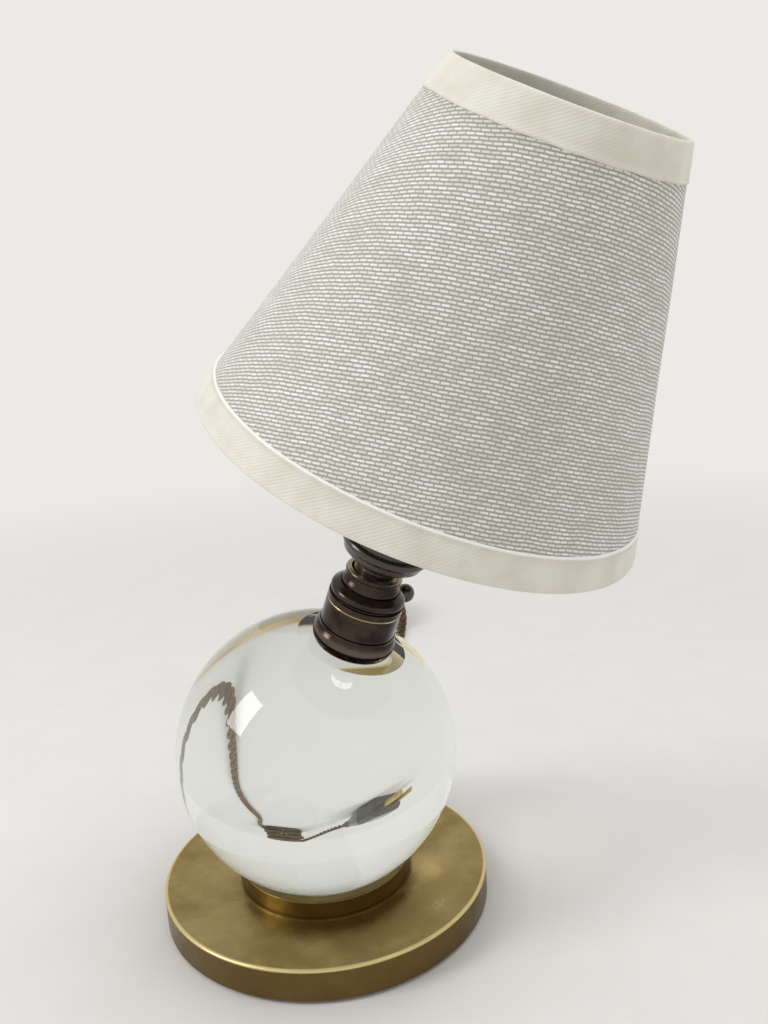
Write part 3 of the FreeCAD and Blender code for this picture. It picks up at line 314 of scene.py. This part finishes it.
def coarse_weave():
    """Linen-look shade cloth on stiff board: rows of pale weft floats, with painted shade in the small grey
    dips between.
    """
    sockets = {"Roughness": 0.72, "Sheen_Weight": 0.25, "Sheen_Roughness": 0.4}
    made, tree, shader = finish_of("coarse shade linen", **sockets)
    sheet = add(tree, "UVMap", uv_map="weave").outputs[0]
    # off its thread, the cloth's rows run down to the right
    sheet = add(tree, "Mapping", {"Vector": sheet, "Rotation": (0.0, 0.0, OFF_THREAD)}).outputs[0]
    slub = add(tree, "TexNoise", {"Vector": sheet, "Scale": 0.09, "Detail": 3.0}).outputs["Color"]
    sway = add(tree, "VectorMath", {0: slub, 1: (0.5, 0.5, 0.5)}, operation="SUBTRACT").outputs[0]
    sway = add(tree, "VectorMath", {0: sway, 3: 1.1}, operation="SCALE").outputs[0]
    thread = add(tree, "VectorMath", {0: sheet, 1: sway}, operation="ADD").outputs[0]
    # the brick's mortar is painted shade in the dips round each float
    floats = add(
        tree,
        "TexBrick",
        {
            "Vector": thread,
            "Color1": hex_linear("#FFFEF9"),
            "Color2": hex_linear("#E4E1D9"),
            "Mortar": hex_linear("#B4B0A7"),
            "Scale": 1.0,
            "Mortar Size": 0.34,
            "Mortar Smooth": 1.0,
            "Bias": -0.1,
            "Brick Width": FLOAT_LENGTH,
            "Row Height": ROW_PITCH,
        },
    )
    # each row is one weft thread, a little lighter or darker along its length
    stretched = add(tree, "Mapping", {"Vector": thread, "Scale": (0.05, 0.93, 1.0)}).outputs[0]
    duller = ranged(tree, patchy(tree, stretched, 1.0, 2.0), 0.35, 0.7, 0.0, 0.22)
    cloth = mixed(tree, duller, floats.outputs["Color"], hex_linear("#B9B4A9"))
    # painted shade: the wave's dark lines fall in the dips between the rows
    row_shade = maths(tree, "SUBTRACT", 1.0, waves(tree, thread, ROW_PITCH))
    cloth = mixed(tree, maths(tree, "MULTIPLY", row_shade, 0.55), cloth, hex_linear("#8C887F"))
    dust = ranged(tree, patchy(tree, sheet, 0.03, 2.0), 0.4, 0.7, 0.0, 0.1)
    cloth = mixed(tree, dust, cloth, hex_linear("#A8A294"))
    tree.links.new(cloth, shader.inputs["Base Color"])
    raised = maths(tree, "SUBTRACT", 1.0, floats.outputs["Fac"])
    fibre = maths(tree, "MULTIPLY", patchy(tree, thread, 2.2, 3.0), 0.5)
    bumped(tree, shader, maths(tree, "ADD", raised, fibre), 0.13, 0.9)
    return made


def shade_board():
    """Calendered backing board: smooth pale grey inside the shade, with the cloth's rows just showing."""
    made, tree, shader = finish_of("smooth backing board", Roughness=0.5)
    sheet = add(tree, "UVMap", uv_map="weave").outputs[0]
    rows = waves(tree, sheet, ROW_PITCH, 0.4)
    grey = mixed(tree, patchy(tree, sheet, 0.05, 3.0), hex_linear("#D3D1CB"), hex_linear("#C2BFB8"))
    grey = mixed(tree, maths(tree, "MULTIPLY", rows, 0.12), grey, hex_linear("#A9A69E"))
    tree.links.new(grey, shader.inputs["Base Color"])
    bumped(tree, shader, rows, 0.02, 0.3)
    return made


TWILL_RIB = 0.9
TWILL_SLANT = math.radians(38)


def twill_tape():
    """Cream cotton twill cut on the bias: fine slanting ribs, a soft sheen, a white piped edge below, its
    brightness partly a painted highlight on the bead.
    """
    sockets = {"Roughness": 0.6, "Sheen_Weight": 0.35, "Sheen_Roughness": 0.35}
    made, tree, shader = finish_of("cream twill tape", **sockets)
    strip = add(tree, "UVMap", uv_map="weave").outputs[0]
    turned = add(tree, "Mapping", {"Vector": strip, "Rotation": (0.0, 0.0, TWILL_SLANT)}).outputs[0]
    ribs = waves(tree, turned, TWILL_RIB, 0.9)
    # a little darker in soft blotches
    soft_blotches = ranged(tree, patchy(tree, strip, 0.11, 3.0), 0.35, 0.7, 0.0, 1.0)
    cream = mixed(tree, soft_blotches, hex_linear("#E8E5DA"), hex_linear("#DEDACB"))
    cream = mixed(tree, maths(tree, "MULTIPLY", ribs, 0.12), cream, hex_linear("#B3AD9A"))
    # from its sewn edge the lower tape's sheet runs up from 0 and the upper tape's runs down, without piping
    run = add(tree, "SeparateXYZ", {0: strip}).outputs[1]
    # the lower tape's piped edge, painted near-white: partly the white cord, partly a painted highlight on
    # its bead
    started = ranged(tree, run, 0.0, 0.1, 0.0, 1.0)
    piping_and_highlight = maths(tree, "MULTIPLY", started, ranged(tree, run, 0.9, 1.3, 1.0, 0.0))
    cream = mixed(tree, maths(tree, "MULTIPLY", piping_and_highlight, 0.85), cream, hex_linear("#FBFAF6"))
    tree.links.new(cream, shader.inputs["Base Color"])
    threads = maths(tree, "MULTIPLY", patchy(tree, turned, 2.6, 3.0), 0.6)
    bumped(tree, shader, maths(tree, "ADD", ribs, threads), 0.06, 0.6)
    return made


CARRIERS_PER_MM = 1.28


def braided_cotton():
    """Cotton braid on each core: gold and brown carriers that cross, dull with a little sheen."""
    sockets = {"Roughness": 0.75, "Sheen_Weight": 0.3, "Sheen_Roughness": 0.4}
    made, tree, shader = finish_of("braided cotton flex", **sockets)
    wrap = add(tree, "UVMap", uv_map="weave").outputs[0]
    crossing = {"Rotation": (0.0, 0.0, math.radians(45)), "Scale": (CARRIERS_PER_MM, CARRIERS_PER_MM, 1.0)}
    carriers = add(tree, "Mapping", {"Vector": wrap, **crossing}).outputs[0]
    check = add(tree, "TexChecker", {"Vector": carriers, "Scale": 1.0}).outputs["Fac"]
    gold = mixed(tree, check, hex_linear("#8D6C36"), hex_linear("#4E3519"))
    worn = ranged(tree, patchy(tree, wrap, 0.06, 3.0), 0.4, 0.7, 0.0, 0.5)
    tree.links.new(mixed(tree, worn, gold, hex_linear("#2F2112")), shader.inputs["Base Color"])
    bumped(tree, shader, check, 0.12, 0.6)
    return made


BRASS = aged_brass()
BRONZED = bronzed_brass()
BRIGHT = plain_metal("turned bright brass", "#D3B368", "#A98A48", 0.24)
STEEL = plain_metal("zinc-plated steel", "#C4C6C8", "#9FA2A5", 0.32)
CAP_METAL = plain_metal("pressed nickel", "#CFCDC8", "#A9A6A0", 0.22)
CLIP_METAL = plain_metal("spring brass wire", "#BFA46A", "#957B45", 0.3)
WIRE = plain_metal("galvanised wire", "#C9C9C6", "#A3A3A0", 0.36)
BLACK = moulding("black phenolic", "#17100A", "#2A2019", 0.22)
BROWN = moulding("brown phenolic", "#21150E", "#2E1F15", 0.24)
PLUG = moulding("dark brown phenolic", "#1D130D", "#30241B", 0.3)
CRYSTAL = polished_crystal()
WEAVE = coarse_weave()
BOARD = shade_board()
TAPE = twill_tape()
BRAID = braided_cotton()

# Which solids from the frame take each finish
FINISHES = {
    BRASS: ["base_disc", "seat_ring"],
    BRONZED: ["mount_plate", "holder_flange", "holder_barrel", "holder_collar", "bayonet_cup"],
    BRIGHT: ["stud_nut", "plunger_left", "plunger_right", "switch_spindle", "adaptor_cap", "adaptor_shell"]
    + ["adaptor_contact", "adaptor_pad_left", "adaptor_pad_right", "plug_pin_left", "plug_pin_right"],
    STEEL: ["ring_screw_1", "ring_screw_2", "ring_screw_3"],
    CAP_METAL: ["bulb_contact", "bulb_cap"],
    CLIP_METAL: ["clip_plate", "clip_loop_front", "clip_loop_back"],
    WIRE: ["top_ring", "bottom_ring", "shade_frame"],
    BLACK: ["cable_bush", "terminal_block", "switch_knob", "adaptor_disc"],
    BROWN: ["adaptor_body"],
    PLUG: ["plug_body"],
    pressed_felt(): ["felt_pad"],
    ground_cork(): ["seat_pad"],
    pearl_glass(): ["bulb_glass"],
}
for surface, names in FINISHES.items():
    for name in names:
        mesh = nodes[name].data
        mesh.materials.clear()
        mesh.materials.append(surface)


# Shapes


def piece_from(name, points, faces, surfaces, body, uvs, face_surface=None):
    """A mesh piece from points in mm, riding on a body, with its flat sheet in its uv layer."""
    mesh = bpy.data.meshes.new(name)
    mesh.from_pydata([tuple(Vector(p) * MM) for p in points], [], faces)
    for surface in surfaces:
        mesh.materials.append(surface)
    layer = mesh.uv_layers.new(name="weave")
    layer.data.foreach_set("uv", [c for face in uvs for pair in face for c in pair])
    if face_surface:
        mesh.polygons.foreach_set("material_index", face_surface)
    mesh.shade_smooth()
    mesh.update()
    made = bpy.data.objects.new(name, mesh)
    bpy.context.scene.collection.objects.link(made)
    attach(made, body)
    return made


# The ball: a ground sphere with one facet under the holder and one small flat on its seat

BALL_RADIUS = 50
FACET_REACH = 46.2
SEAT_FLAT = 10.8


def glass_ball():
    """The sphere, with its poles on the holder's axis, cut by two planes."""
    turned = bmesh.new()
    bmesh.ops.create_uvsphere(turned, u_segments=192, v_segments=96, radius=BALL_RADIUS)
    lean = Vector((0, 0, 1)).rotation_difference(HOLDER_AXIS).to_matrix().to_4x4()
    bmesh.ops.transform(turned, matrix=Matrix.Translation(BALL_CENTRE) @ lean, verts=turned.verts)
    cuts = (
        (BALL_CENTRE + HOLDER_AXIS * FACET_REACH, HOLDER_AXIS),
        (Vector((0, 0, SEAT_FLAT)), Vector((0, 0, -1))),
    )
    for face in turned.faces:
        face.smooth = True
    for spot, way in cuts:
        geometry = turned.verts[:] + turned.edges[:] + turned.faces[:]
        cut = bmesh.ops.bisect_plane(turned, geom=geometry, plane_co=spot, plane_no=way, clear_outer=True)
        rim = [g for g in cut["geom_cut"] if isinstance(g, bmesh.types.BMEdge)]
        filled = bmesh.ops.contextual_create(turned, geom=rim)
        for face in filled["faces"]:
            face.smooth = False
        for edge in rim:
            edge.smooth = False
    bmesh.ops.recalc_face_normals(turned, faces=turned.faces)
    bmesh.ops.scale(turned, vec=(MM, MM, MM), verts=turned.verts)
    mesh = bpy.data.meshes.new("polished_ball")
    turned.to_mesh(mesh)
    turned.free()
    mesh.materials.append(CRYSTAL)
    made = bpy.data.objects.new("polished_ball", mesh)
    bpy.context.scene.collection.objects.link(made)
    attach(made, "lamp")
    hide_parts("glass_ball")


glass_ball()


# The shade: cloth cone cut from a flat sheet, with a tape folded over each edge

SHADE_BOTTOM = 46.95
SHADE_TOP = 158.1
BOTTOM_RADIUS = 71.26
TOP_RADIUS = 34.22
# How much the top edge rises to the back, and the bottom edge to the lean side and to the back
TOP_RISE = 2.4
BOTTOM_RISE = (0.4, -0.2)
WALL = 0.8
PANELS = 12
# Columns of faces round the cloth and tapes
AROUND = 288
TAPER = (BOTTOM_RADIUS - TOP_RADIUS) / (SHADE_TOP - SHADE_BOTTOM)
SLOPE = math.atan(TAPER)
# The cloth's rows lie level at the grain line, and its lap is opposite
GRAIN_LINE = math.radians(-30)
LAP = math.radians(7)


def cone_radius(height):
    """The cloth's outside at a height."""
    return BOTTOM_RADIUS - (height - SHADE_BOTTOM) * TAPER


def edge_height(angle, end):
    """The height of the cloth's edge, which isn't quite square to the shade's axis."""
    if end == SHADE_TOP:
        return end + TOP_RISE * math.sin(angle)
    return end + BOTTOM_RISE[0] * math.cos(angle) + BOTTOM_RISE[1] * math.sin(angle)


def on_sheet(angle, height):
    """Where a place on the cone was on the flat cloth, in mm, with the rows level at the grain line."""
    reach = cone_radius(height) / math.sin(SLOPE)
    turn = (angle - GRAIN_LINE) * math.sin(SLOPE)
    return (reach * math.sin(turn), -reach * math.cos(turn))


def cloth_height(angle, share):
    """A height between the cloth's two edges."""
    low = edge_height(angle, SHADE_BOTTOM)
    return low + (edge_height(angle, SHADE_TOP) - low) * share


def cloth_cone():
    """Cloth outside and board inside, with a lap at the back and a slight ripple."""
    count, rows = AROUND, 40
    seam = GRAIN_LINE - math.pi
    ripple, ripple_length, lap_step = 0.18, 28, 0.3
    points, faces, uvs, sides = [], [], [], []
    for layer in (0, 1):
        for row in range(rows + 1):
            for i in range(count + 1):
                angle = seam + 2 * math.pi * i / count
                height = cloth_height(angle, row / rows)
                spot = Vector((3 * math.cos(angle), 3 * math.sin(angle), height / ripple_length))
                wave = ripple * noise.noise(spot)
                lapped = lap_step if layer == 0 and angle - seam < LAP else 0.0
                radius = cone_radius(height) + wave + lapped - (WALL if layer else 0.0)
                points.append(shade_point(radius, angle, height))
    wide = count + 1
    for layer in (0, 1):
        base = layer * wide * (rows + 1)
        for row in range(rows):
            for i in range(count):
                a = base + row * wide + i
                corners = [(i, row), (i + 1, row), (i + 1, row + 1), (i, row + 1)]
                face = [a, a + 1, a + 1 + wide, a + wide]
                if layer:
                    corners.reverse()
                    face.reverse()
                faces.append(face)
                spots = [(seam + 2 * math.pi * column / count, line / rows) for column, line in corners]
                uvs.append([on_sheet(angle, cloth_height(angle, share)) for angle, share in spots])
                sides.append(layer)
    inner = wide * (rows + 1)
    for row in (0, rows):
        for i in range(count):
            a = row * wide + i
            edge = [a + 1, a, a + inner, a + 1 + inner]
            if row:
                edge.reverse()
            faces.append(edge)
            uvs.append([(0.0, 0.0)] * 4)
            sides.append(1)
    cloth = piece_from("shade_cloth", points, faces, [WEAVE, BOARD], "shade", uvs, sides)
    # join the two ends of the cloth, so that the cone is closed
    merged = bmesh.new()
    merged.from_mesh(cloth.data)
    seam_line = [v for v in merged.verts if v.index % wide in (0, count)]
    bmesh.ops.remove_doubles(merged, verts=seam_line, dist=0.45 * MM)
    merged.to_mesh(cloth.data)
    merged.free()
    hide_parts(*["shade_cover_%d" % (i + 1) for i in range(PANELS)])


cloth_cone()

# A tape's section over the edge and inside, each point as mm from the cloth's edge and mm off the cloth
TAPE_FOLD = [(0.6, 0.55), (0.0, 0.5), (-0.35, 0.25), (-0.5, -0.3), (-0.45, -0.9), (-0.1, -1.25)]
TAPE_INSIDE = [(0.8, -1.3), (3.0, -1.27), (6.0, -1.3), (6.0, -0.84), (0.3, -0.84), (0.3, 0.0)]


def tape_section(width, bead):
    """From the sewn edge with its bead, over a slightly crowned face, round the fold to the inside."""
    face_start = width - 1.15
    face_width = width - 1.75
    crown, steps = 0.17, 8
    sewn = [(width, 0.0), (width + 0.1, 0.3), (width - 0.1, bead), (width - 0.75, bead), (face_start, 0.36)]
    shares = [i / steps for i in range(1, steps)]
    face = [(face_start - face_width * share, 0.38 + crown * math.sin(math.pi * share)) for share in shares]
    return sewn + face + TAPE_FOLD + TAPE_INSIDE


def folded_tape(name, node, end, inward, width, bead, seed):
    """A bias tape that puckers a little along its sewn edge."""
    section = tape_section(width, bead)
    run = [0.0]
    for a, b in zip(section, section[1:] + section[:1]):
        run.append(run[-1] + math.dist(a, b))
    count = AROUND
    pucker_depth, sway_width, loose_width = 0.1, 0.22, 3.5
    points, faces, uvs = [], [], []
    random.seed(seed)
    shift = random.random() * 40
    for i in range(count):
        angle = 2 * math.pi * i / count
        pucker = noise.noise(Vector((14 * math.cos(angle) + shift, 14 * math.sin(angle), 0)))
        sway = noise.noise(Vector((4 * math.cos(angle), 4 * math.sin(angle) + shift, 0)))
        for inset, off in section:
            loose = max(0.0, min(1.0, (inset - width + loose_width) / loose_width))
            swell = pucker_depth * pucker if 0.25 < off < 0.6 else 0.0
            moved = inset + (sway_width * sway * loose if inset > 1 and off > 0 else 0.0)
            height = edge_height(angle, end) + inward * moved * math.cos(SLOPE)
            points.append(shade_point(cone_radius(height) + off + swell, angle, height))
    size = len(section)
    middle = cone_radius(end)
    for i in range(count):
        for j in range(size):
            k = (j + 1) % size
            n = (i + 1) % count
            corners = [(i, j, i), (n, j, i + 1), (n, k, i + 1), (i, k, i)]
            runs = [run[j], run[j], run[j + 1], run[j + 1]]
            face = [c[0] * size + c[1] for c in corners]
            pairs = [(c[2] * 2 * math.pi / count * middle, r * inward) for c, r in zip(corners, runs)]
            if inward > 0:
                face.reverse()
                pairs.reverse()
            faces.append(face)
            uvs.append(pairs)
    tape = piece_from(name, points, faces, [TAPE], "shade", uvs)
    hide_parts(node)


folded_tape("bottom_tape", "bottom_trim", SHADE_BOTTOM, 1, 9.6, 0.72, 3)
folded_tape("top_tape", "top_trim", SHADE_TOP, -1, 9.9, 0.6, 8)


# The flex: two braided cores twisted together along one route

ROUTE_TURN = math.radians(27.7)
EXIT = Vector((24.96, 13.54, 110.84))
OUT_OF_BUSH = Vector((26.21, 19.39, 110.32))
FLEX_RADIUS = 2.0


def on_route(x, y, z):
    """A place behind the lamp as part of the flex's route, whose y runs straight away from the viewer."""
    return Vector(
        (
            x * math.cos(ROUTE_TURN) - y * math.sin(ROUTE_TURN),
            x * math.sin(ROUTE_TURN) + y * math.cos(ROUTE_TURN),
            z,
        )
    )


# The drop behind the ball and the run over the table to the coil, then the way from the coil to the plug
DROP = [
    (33.2, 11.7, 106.0),
    (33.6, 19.6, 98.6),
    (32.8, 31.4, 89.0),
    (30.6, 43.4, 74.4),
    (26.2, 52.4, 57.0),
    (20.4, 58.4, 39.0),
    (14.4, 64.0, 22.8),
    (8.6, 74.0, 9.6),
    (5.5, 90.0, 2.9),
    (7.5, 112.0, 2.05),
    (17.0, 141.0, 2.1),
    (20.5, 174.0, 2.05),
    (20.0, 205.0, 2.1),
    (26.0, 234.0, 2.05),
    (32.6, 256.0, 2.1),
]
TAIL = [(-17.0, 262.0, 12.0), (-26.0, 248.0, 8.0), (-31.5, 234.0, 6.8)]
PLUG_ENTRY = (-38.0, 221.0, 6.8)

# The put-away coil, longer along the view than across it so that the holder hides it
COIL_CENTRE = (13.4, 292.0)
COIL_RADIUS = 21.0
COIL_STRETCH = 8.4
TURN_PITCH = 4.1
LAYERS = 4
LAYER_TURNS = 2.625
LAYER_STEP = 4.6
CLIMB_TURNS = 0.5
LYING = 2.05
POINTS_A_TURN = 16


def coil_point(turn):
    """The coil winds in and out in flat layers, and climbs one step where it turns back."""
    layer = min(int(turn / LAYER_TURNS), LAYERS - 1)
    wound = turn - layer * LAYER_TURNS
    if layer % 2:
        wound = LAYER_TURNS - wound
    level = 0.0
    for change in range(1, LAYERS):
        way = min(max((turn - change * LAYER_TURNS) / CLIMB_TURNS + 0.5, 0.0), 1.0)
        level += way * way * (3 - 2 * way)
    radius = COIL_RADIUS - TURN_PITCH * wound
    angle = 2 * math.pi * turn
    sideways = COIL_CENTRE[0] + radius * math.cos(angle)
    deep = COIL_CENTRE[1] + radius * math.sin(angle) + COIL_STRETCH * math.tanh(1.6 * math.sin(angle))
    return Vector((sideways, deep, LYING + LAYER_STEP * level))


def flex_route():
    """The whole route: out of the bush, down, along the table, round the coil and into the plug."""
    last = LAYERS * LAYER_TURNS
    nudge = 0.0005
    way_in = coil_point(nudge) - coil_point(0)
    way_out = coil_point(last) - coil_point(last - nudge)
    way_in.z = way_out.z = 0
    way_in.normalize()
    way_out.normalize()
    first, end = coil_point(0), coil_point(last)
    lead_in = [first - way_in * 18, first - way_in * 4]
    turns = [coil_point(i / POINTS_A_TURN) for i in range(int(last * POINTS_A_TURN) + 1)]
    lead_out = [end + way_out * 4, end + way_out * 14]
    placed = DROP + lead_in + turns + lead_out + TAIL + [PLUG_ENTRY]
    return [EXIT, OUT_OF_BUSH] + [on_route(*p) for p in placed]


def smooth_route(points):
    """The points along the NURBS line through the route, in mm."""
    curve = bpy.data.curves.new("flex_line", "CURVE")
    curve.dimensions = "3D"
    line = curve.splines.new("NURBS")
    line.points.add(len(points) - 1)
    for spot, place in zip(line.points, points):
        spot.co = (*(place * MM), 1)
    line.order_u = 3
    line.use_endpoint_u = True
    line.resolution_u = 8
    holder = bpy.data.objects.new("flex_line", curve)
    read = bpy.data.meshes.new_from_object(holder)
    found = [v.co / MM for v in read.vertices]
    bpy.data.meshes.remove(read)
    bpy.data.objects.remove(holder)
    bpy.data.curves.remove(curve)
    return found


def evenly(points, step):
    """The same line with its points one step apart."""
    far = [0.0]
    for a, b in zip(points, points[1:]):
        far.append(far[-1] + (b - a).length)
    count = max(2, round(far[-1] / step))
    made, k = [], 0
    for i in range(count + 1):
        want = far[-1] * i / count
        while k < len(far) - 2 and far[k + 1] < want:
            k += 1
        share = (want - far[k]) / max(far[k + 1] - far[k], 1e-9)
        made.append(points[k].lerp(points[k + 1], min(share, 1.0)))
    return made, far[-1]


CORE_RADIUS = 1.04
CORE_ROUND = 2 * math.pi * CORE_RADIUS
TWIST_LAY = 11.0
FLEX_STEP = 1.15


def carried_frames(middle):
    """Each point's direction along the line, and two directions across it that don't spin as it goes."""
    last = len(middle) - 1
    ways = [(middle[min(i + 1, last)] - middle[max(i - 1, 0)]).normalized() for i in range(last + 1)]
    side = ways[0].orthogonal().normalized()
    frames = []
    for way in ways:
        side = (side - way * side.dot(way)).normalized()
        frames.append((way, side, way.cross(side)))
    return frames


def twisted_flex():
    """Two round cores about one line, each half the flex wide."""
    middle, length = evenly(smooth_route(flex_route()), FLEX_STEP)
    sides = 8
    offset = FLEX_RADIUS - CORE_RADIUS
    points, faces, uvs = [], [], []
    frames = carried_frames(middle)
    step = length / (len(middle) - 1)
    for strand in (0, 1):
        start = len(points)
        for i, (spot, (way, a, b)) in enumerate(zip(middle, frames)):
            turn = 2 * math.pi * (i * step / TWIST_LAY) + math.pi * strand
            out = a * math.cos(turn) + b * math.sin(turn)
            centre = spot + out * offset
            round_way = b * math.cos(turn) - a * math.sin(turn)
            lean = (way + round_way * (2 * math.pi * offset / TWIST_LAY)).normalized()
            across = lean.cross(out).normalized()
            for k in range(sides):
                spin = 2 * math.pi * k / sides
                rounded = out * (CORE_RADIUS * math.cos(spin)) + across * (CORE_RADIUS * math.sin(spin))
                points.append(centre + rounded)
        for i in range(len(middle) - 1):
            for k in range(sides):
                n = (k + 1) % sides
                a = start + i * sides
                faces.append([a + k, a + n, a + n + sides, a + k + sides])
                low, high = i * step, (i + 1) * step
                one, two = k * CORE_ROUND / sides, (k + 1) * CORE_ROUND / sides
                uvs.append([(low, one), (low, two), (high, two), (high, one)])
        for i, flip in ((0, True), (len(middle) - 1, False)):
            ring = [start + i * sides + k for k in range(sides)]
            faces.append(ring[::-1] if flip else ring)
            uvs.append([(0.0, 0.0)] * sides)
    flex = piece_from("twisted_flex", points, faces, [BRAID], "lamp", uvs)
    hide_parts("flex_drop", "flex_coil", "flex_tail")


twisted_flex()


# Camera, from the fit to the photograph's outlines

CAMERA_PLACE = Vector((177.4, -270.05, 220.77))
HEADING = math.radians(28.05)
LEVEL_AHEAD = Vector((-math.sin(HEADING), math.cos(HEADING), 0))
LEVEL_RIGHT = Vector((math.cos(HEADING), math.sin(HEADING), 0))
PITCH = math.radians(13.337)
ROLL = math.radians(-3.642)
FOCAL_PIXELS = 970.7
PICTURE_HEIGHT_PIXELS = 1024
SENSOR = 36


def place_camera():
    """Aim the camera down by the pitch, then roll it about its own view."""
    data = bpy.data.cameras.new("camera")
    data.lens = FOCAL_PIXELS / PICTURE_HEIGHT_PIXELS * SENSOR
    data.sensor_width = SENSOR
    data.clip_start = 0.01
    camera = bpy.data.objects.new("camera", data)
    bpy.context.scene.collection.objects.link(camera)
    ahead = LEVEL_AHEAD * math.cos(PITCH) - Vector((0, 0, 1)) * math.sin(PITCH)
    level_up = LEVEL_RIGHT.cross(ahead)
    right = LEVEL_RIGHT * math.cos(ROLL) + level_up * math.sin(ROLL)
    up = level_up * math.cos(ROLL) - LEVEL_RIGHT * math.sin(ROLL)
    turned = Matrix((right, up, -ahead)).transposed()
    camera.matrix_world = Matrix.Translation(CAMERA_PLACE * MM) @ turned.to_4x4()
    bpy.context.scene.camera = camera


place_camera()


# Studio: pale floor that keeps the shadow, pale surround, two soft boxes

PALE = hex_linear("#ECEAE6")

FLOOR_RADIUS = 6
FLOOR_CORNERS = 96
# How far out the floor begins and ends its change to the plain backdrop, in mm
CARD_ENDS = (300.0, 900.0)
SURROUND_LIGHT = 0.6
LAMP_MIDDLE = (0.03, 0, 0.12)


def studio_card():
    """Matt studio card: even and pale with a faint mottle, turning to the backdrop's colour far out."""
    made, tree, shader = finish_of("matt studio card", Roughness=0.9, Specular_IOR_Level=0.1)
    away = add(tree, "VectorMath", {0: here(tree)}, operation="LENGTH").outputs["Value"]
    mottle = ranged(tree, speckle(tree, here(tree), 30.0), 0.4, 0.6, 0.0, 0.25)
    tree.links.new(mixed(tree, mottle, PALE, hex_linear("#E6E4E0")), shader.inputs["Base Color"])
    glow = add(tree, "Emission", {"Color": PALE, "Strength": 1.0}).outputs[0]
    far = ranged(tree, away, *CARD_ENDS, 0.0, 1.0)
    blended = add(tree, "MixShader", {0: far, 1: shader.outputs[0], 2: glow})
    tree.links.new(blended.outputs[0], tree.nodes["Material Output"].inputs["Surface"])
    return made


def studio_floor():
    """A round floor, six metres in radius."""
    mesh = bpy.data.meshes.new("studio_floor")
    turns = [2 * math.pi * i / FLOOR_CORNERS for i in range(FLOOR_CORNERS)]
    ring = [(FLOOR_RADIUS * math.cos(turn), FLOOR_RADIUS * math.sin(turn), 0) for turn in turns]
    mesh.from_pydata(ring, [], [list(range(FLOOR_CORNERS))])
    mesh.materials.append(studio_card())
    floor = bpy.data.objects.new("studio_floor", mesh)
    bpy.context.scene.collection.objects.link(floor)


def surround():
    """An even white light all round, which the eye, reflections and the glass see as the pale backdrop."""
    world = bpy.data.worlds.new("studio")
    bpy.context.scene.world = world
    world.use_nodes = True
    tree = world.node_tree
    light = tree.nodes["Background"]
    light.inputs["Color"].default_value = (1, 1, 1, 1)
    light.inputs["Strength"].default_value = SURROUND_LIGHT
    seen = add(tree, "Background", {"Color": PALE, "Strength": 1.0}).outputs[0]
    path = add(tree, "LightPath")
    direct = maths(tree, "MAXIMUM", path.outputs["Is Camera Ray"], path.outputs["Is Glossy Ray"])
    direct = maths(tree, "MAXIMUM", direct, path.outputs["Is Transmission Ray"])
    shown = add(tree, "MixShader", {0: direct, 1: light.outputs[0], 2: seen})
    tree.links.new(shown.outputs[0], tree.nodes["World Output"].inputs["Surface"])


def soft_box(name, place, width, height, power):
    """A rectangular light aimed at the lamp's middle: sizes in metres, power in watts."""
    data = bpy.data.lights.new(name, "AREA")
    data.shape = "RECTANGLE"
    data.size = width
    data.size_y = height
    data.energy = power
    box = bpy.data.objects.new(name, data)
    bpy.context.scene.collection.objects.link(box)
    box.location = place
    box.rotation_euler = (Vector(LAMP_MIDDLE) - Vector(place)).to_track_quat("-Z", "Y").to_euler()


studio_floor()
surround()
soft_box("window_side", (-0.75, -0.75, 0.85), 0.42, 0.6, 6.0)
soft_box("overhead", (0.35, 0.1, 1.15), 0.5, 0.5, 3.2)

bpy.context.scene.view_settings.view_transform = "Standard"
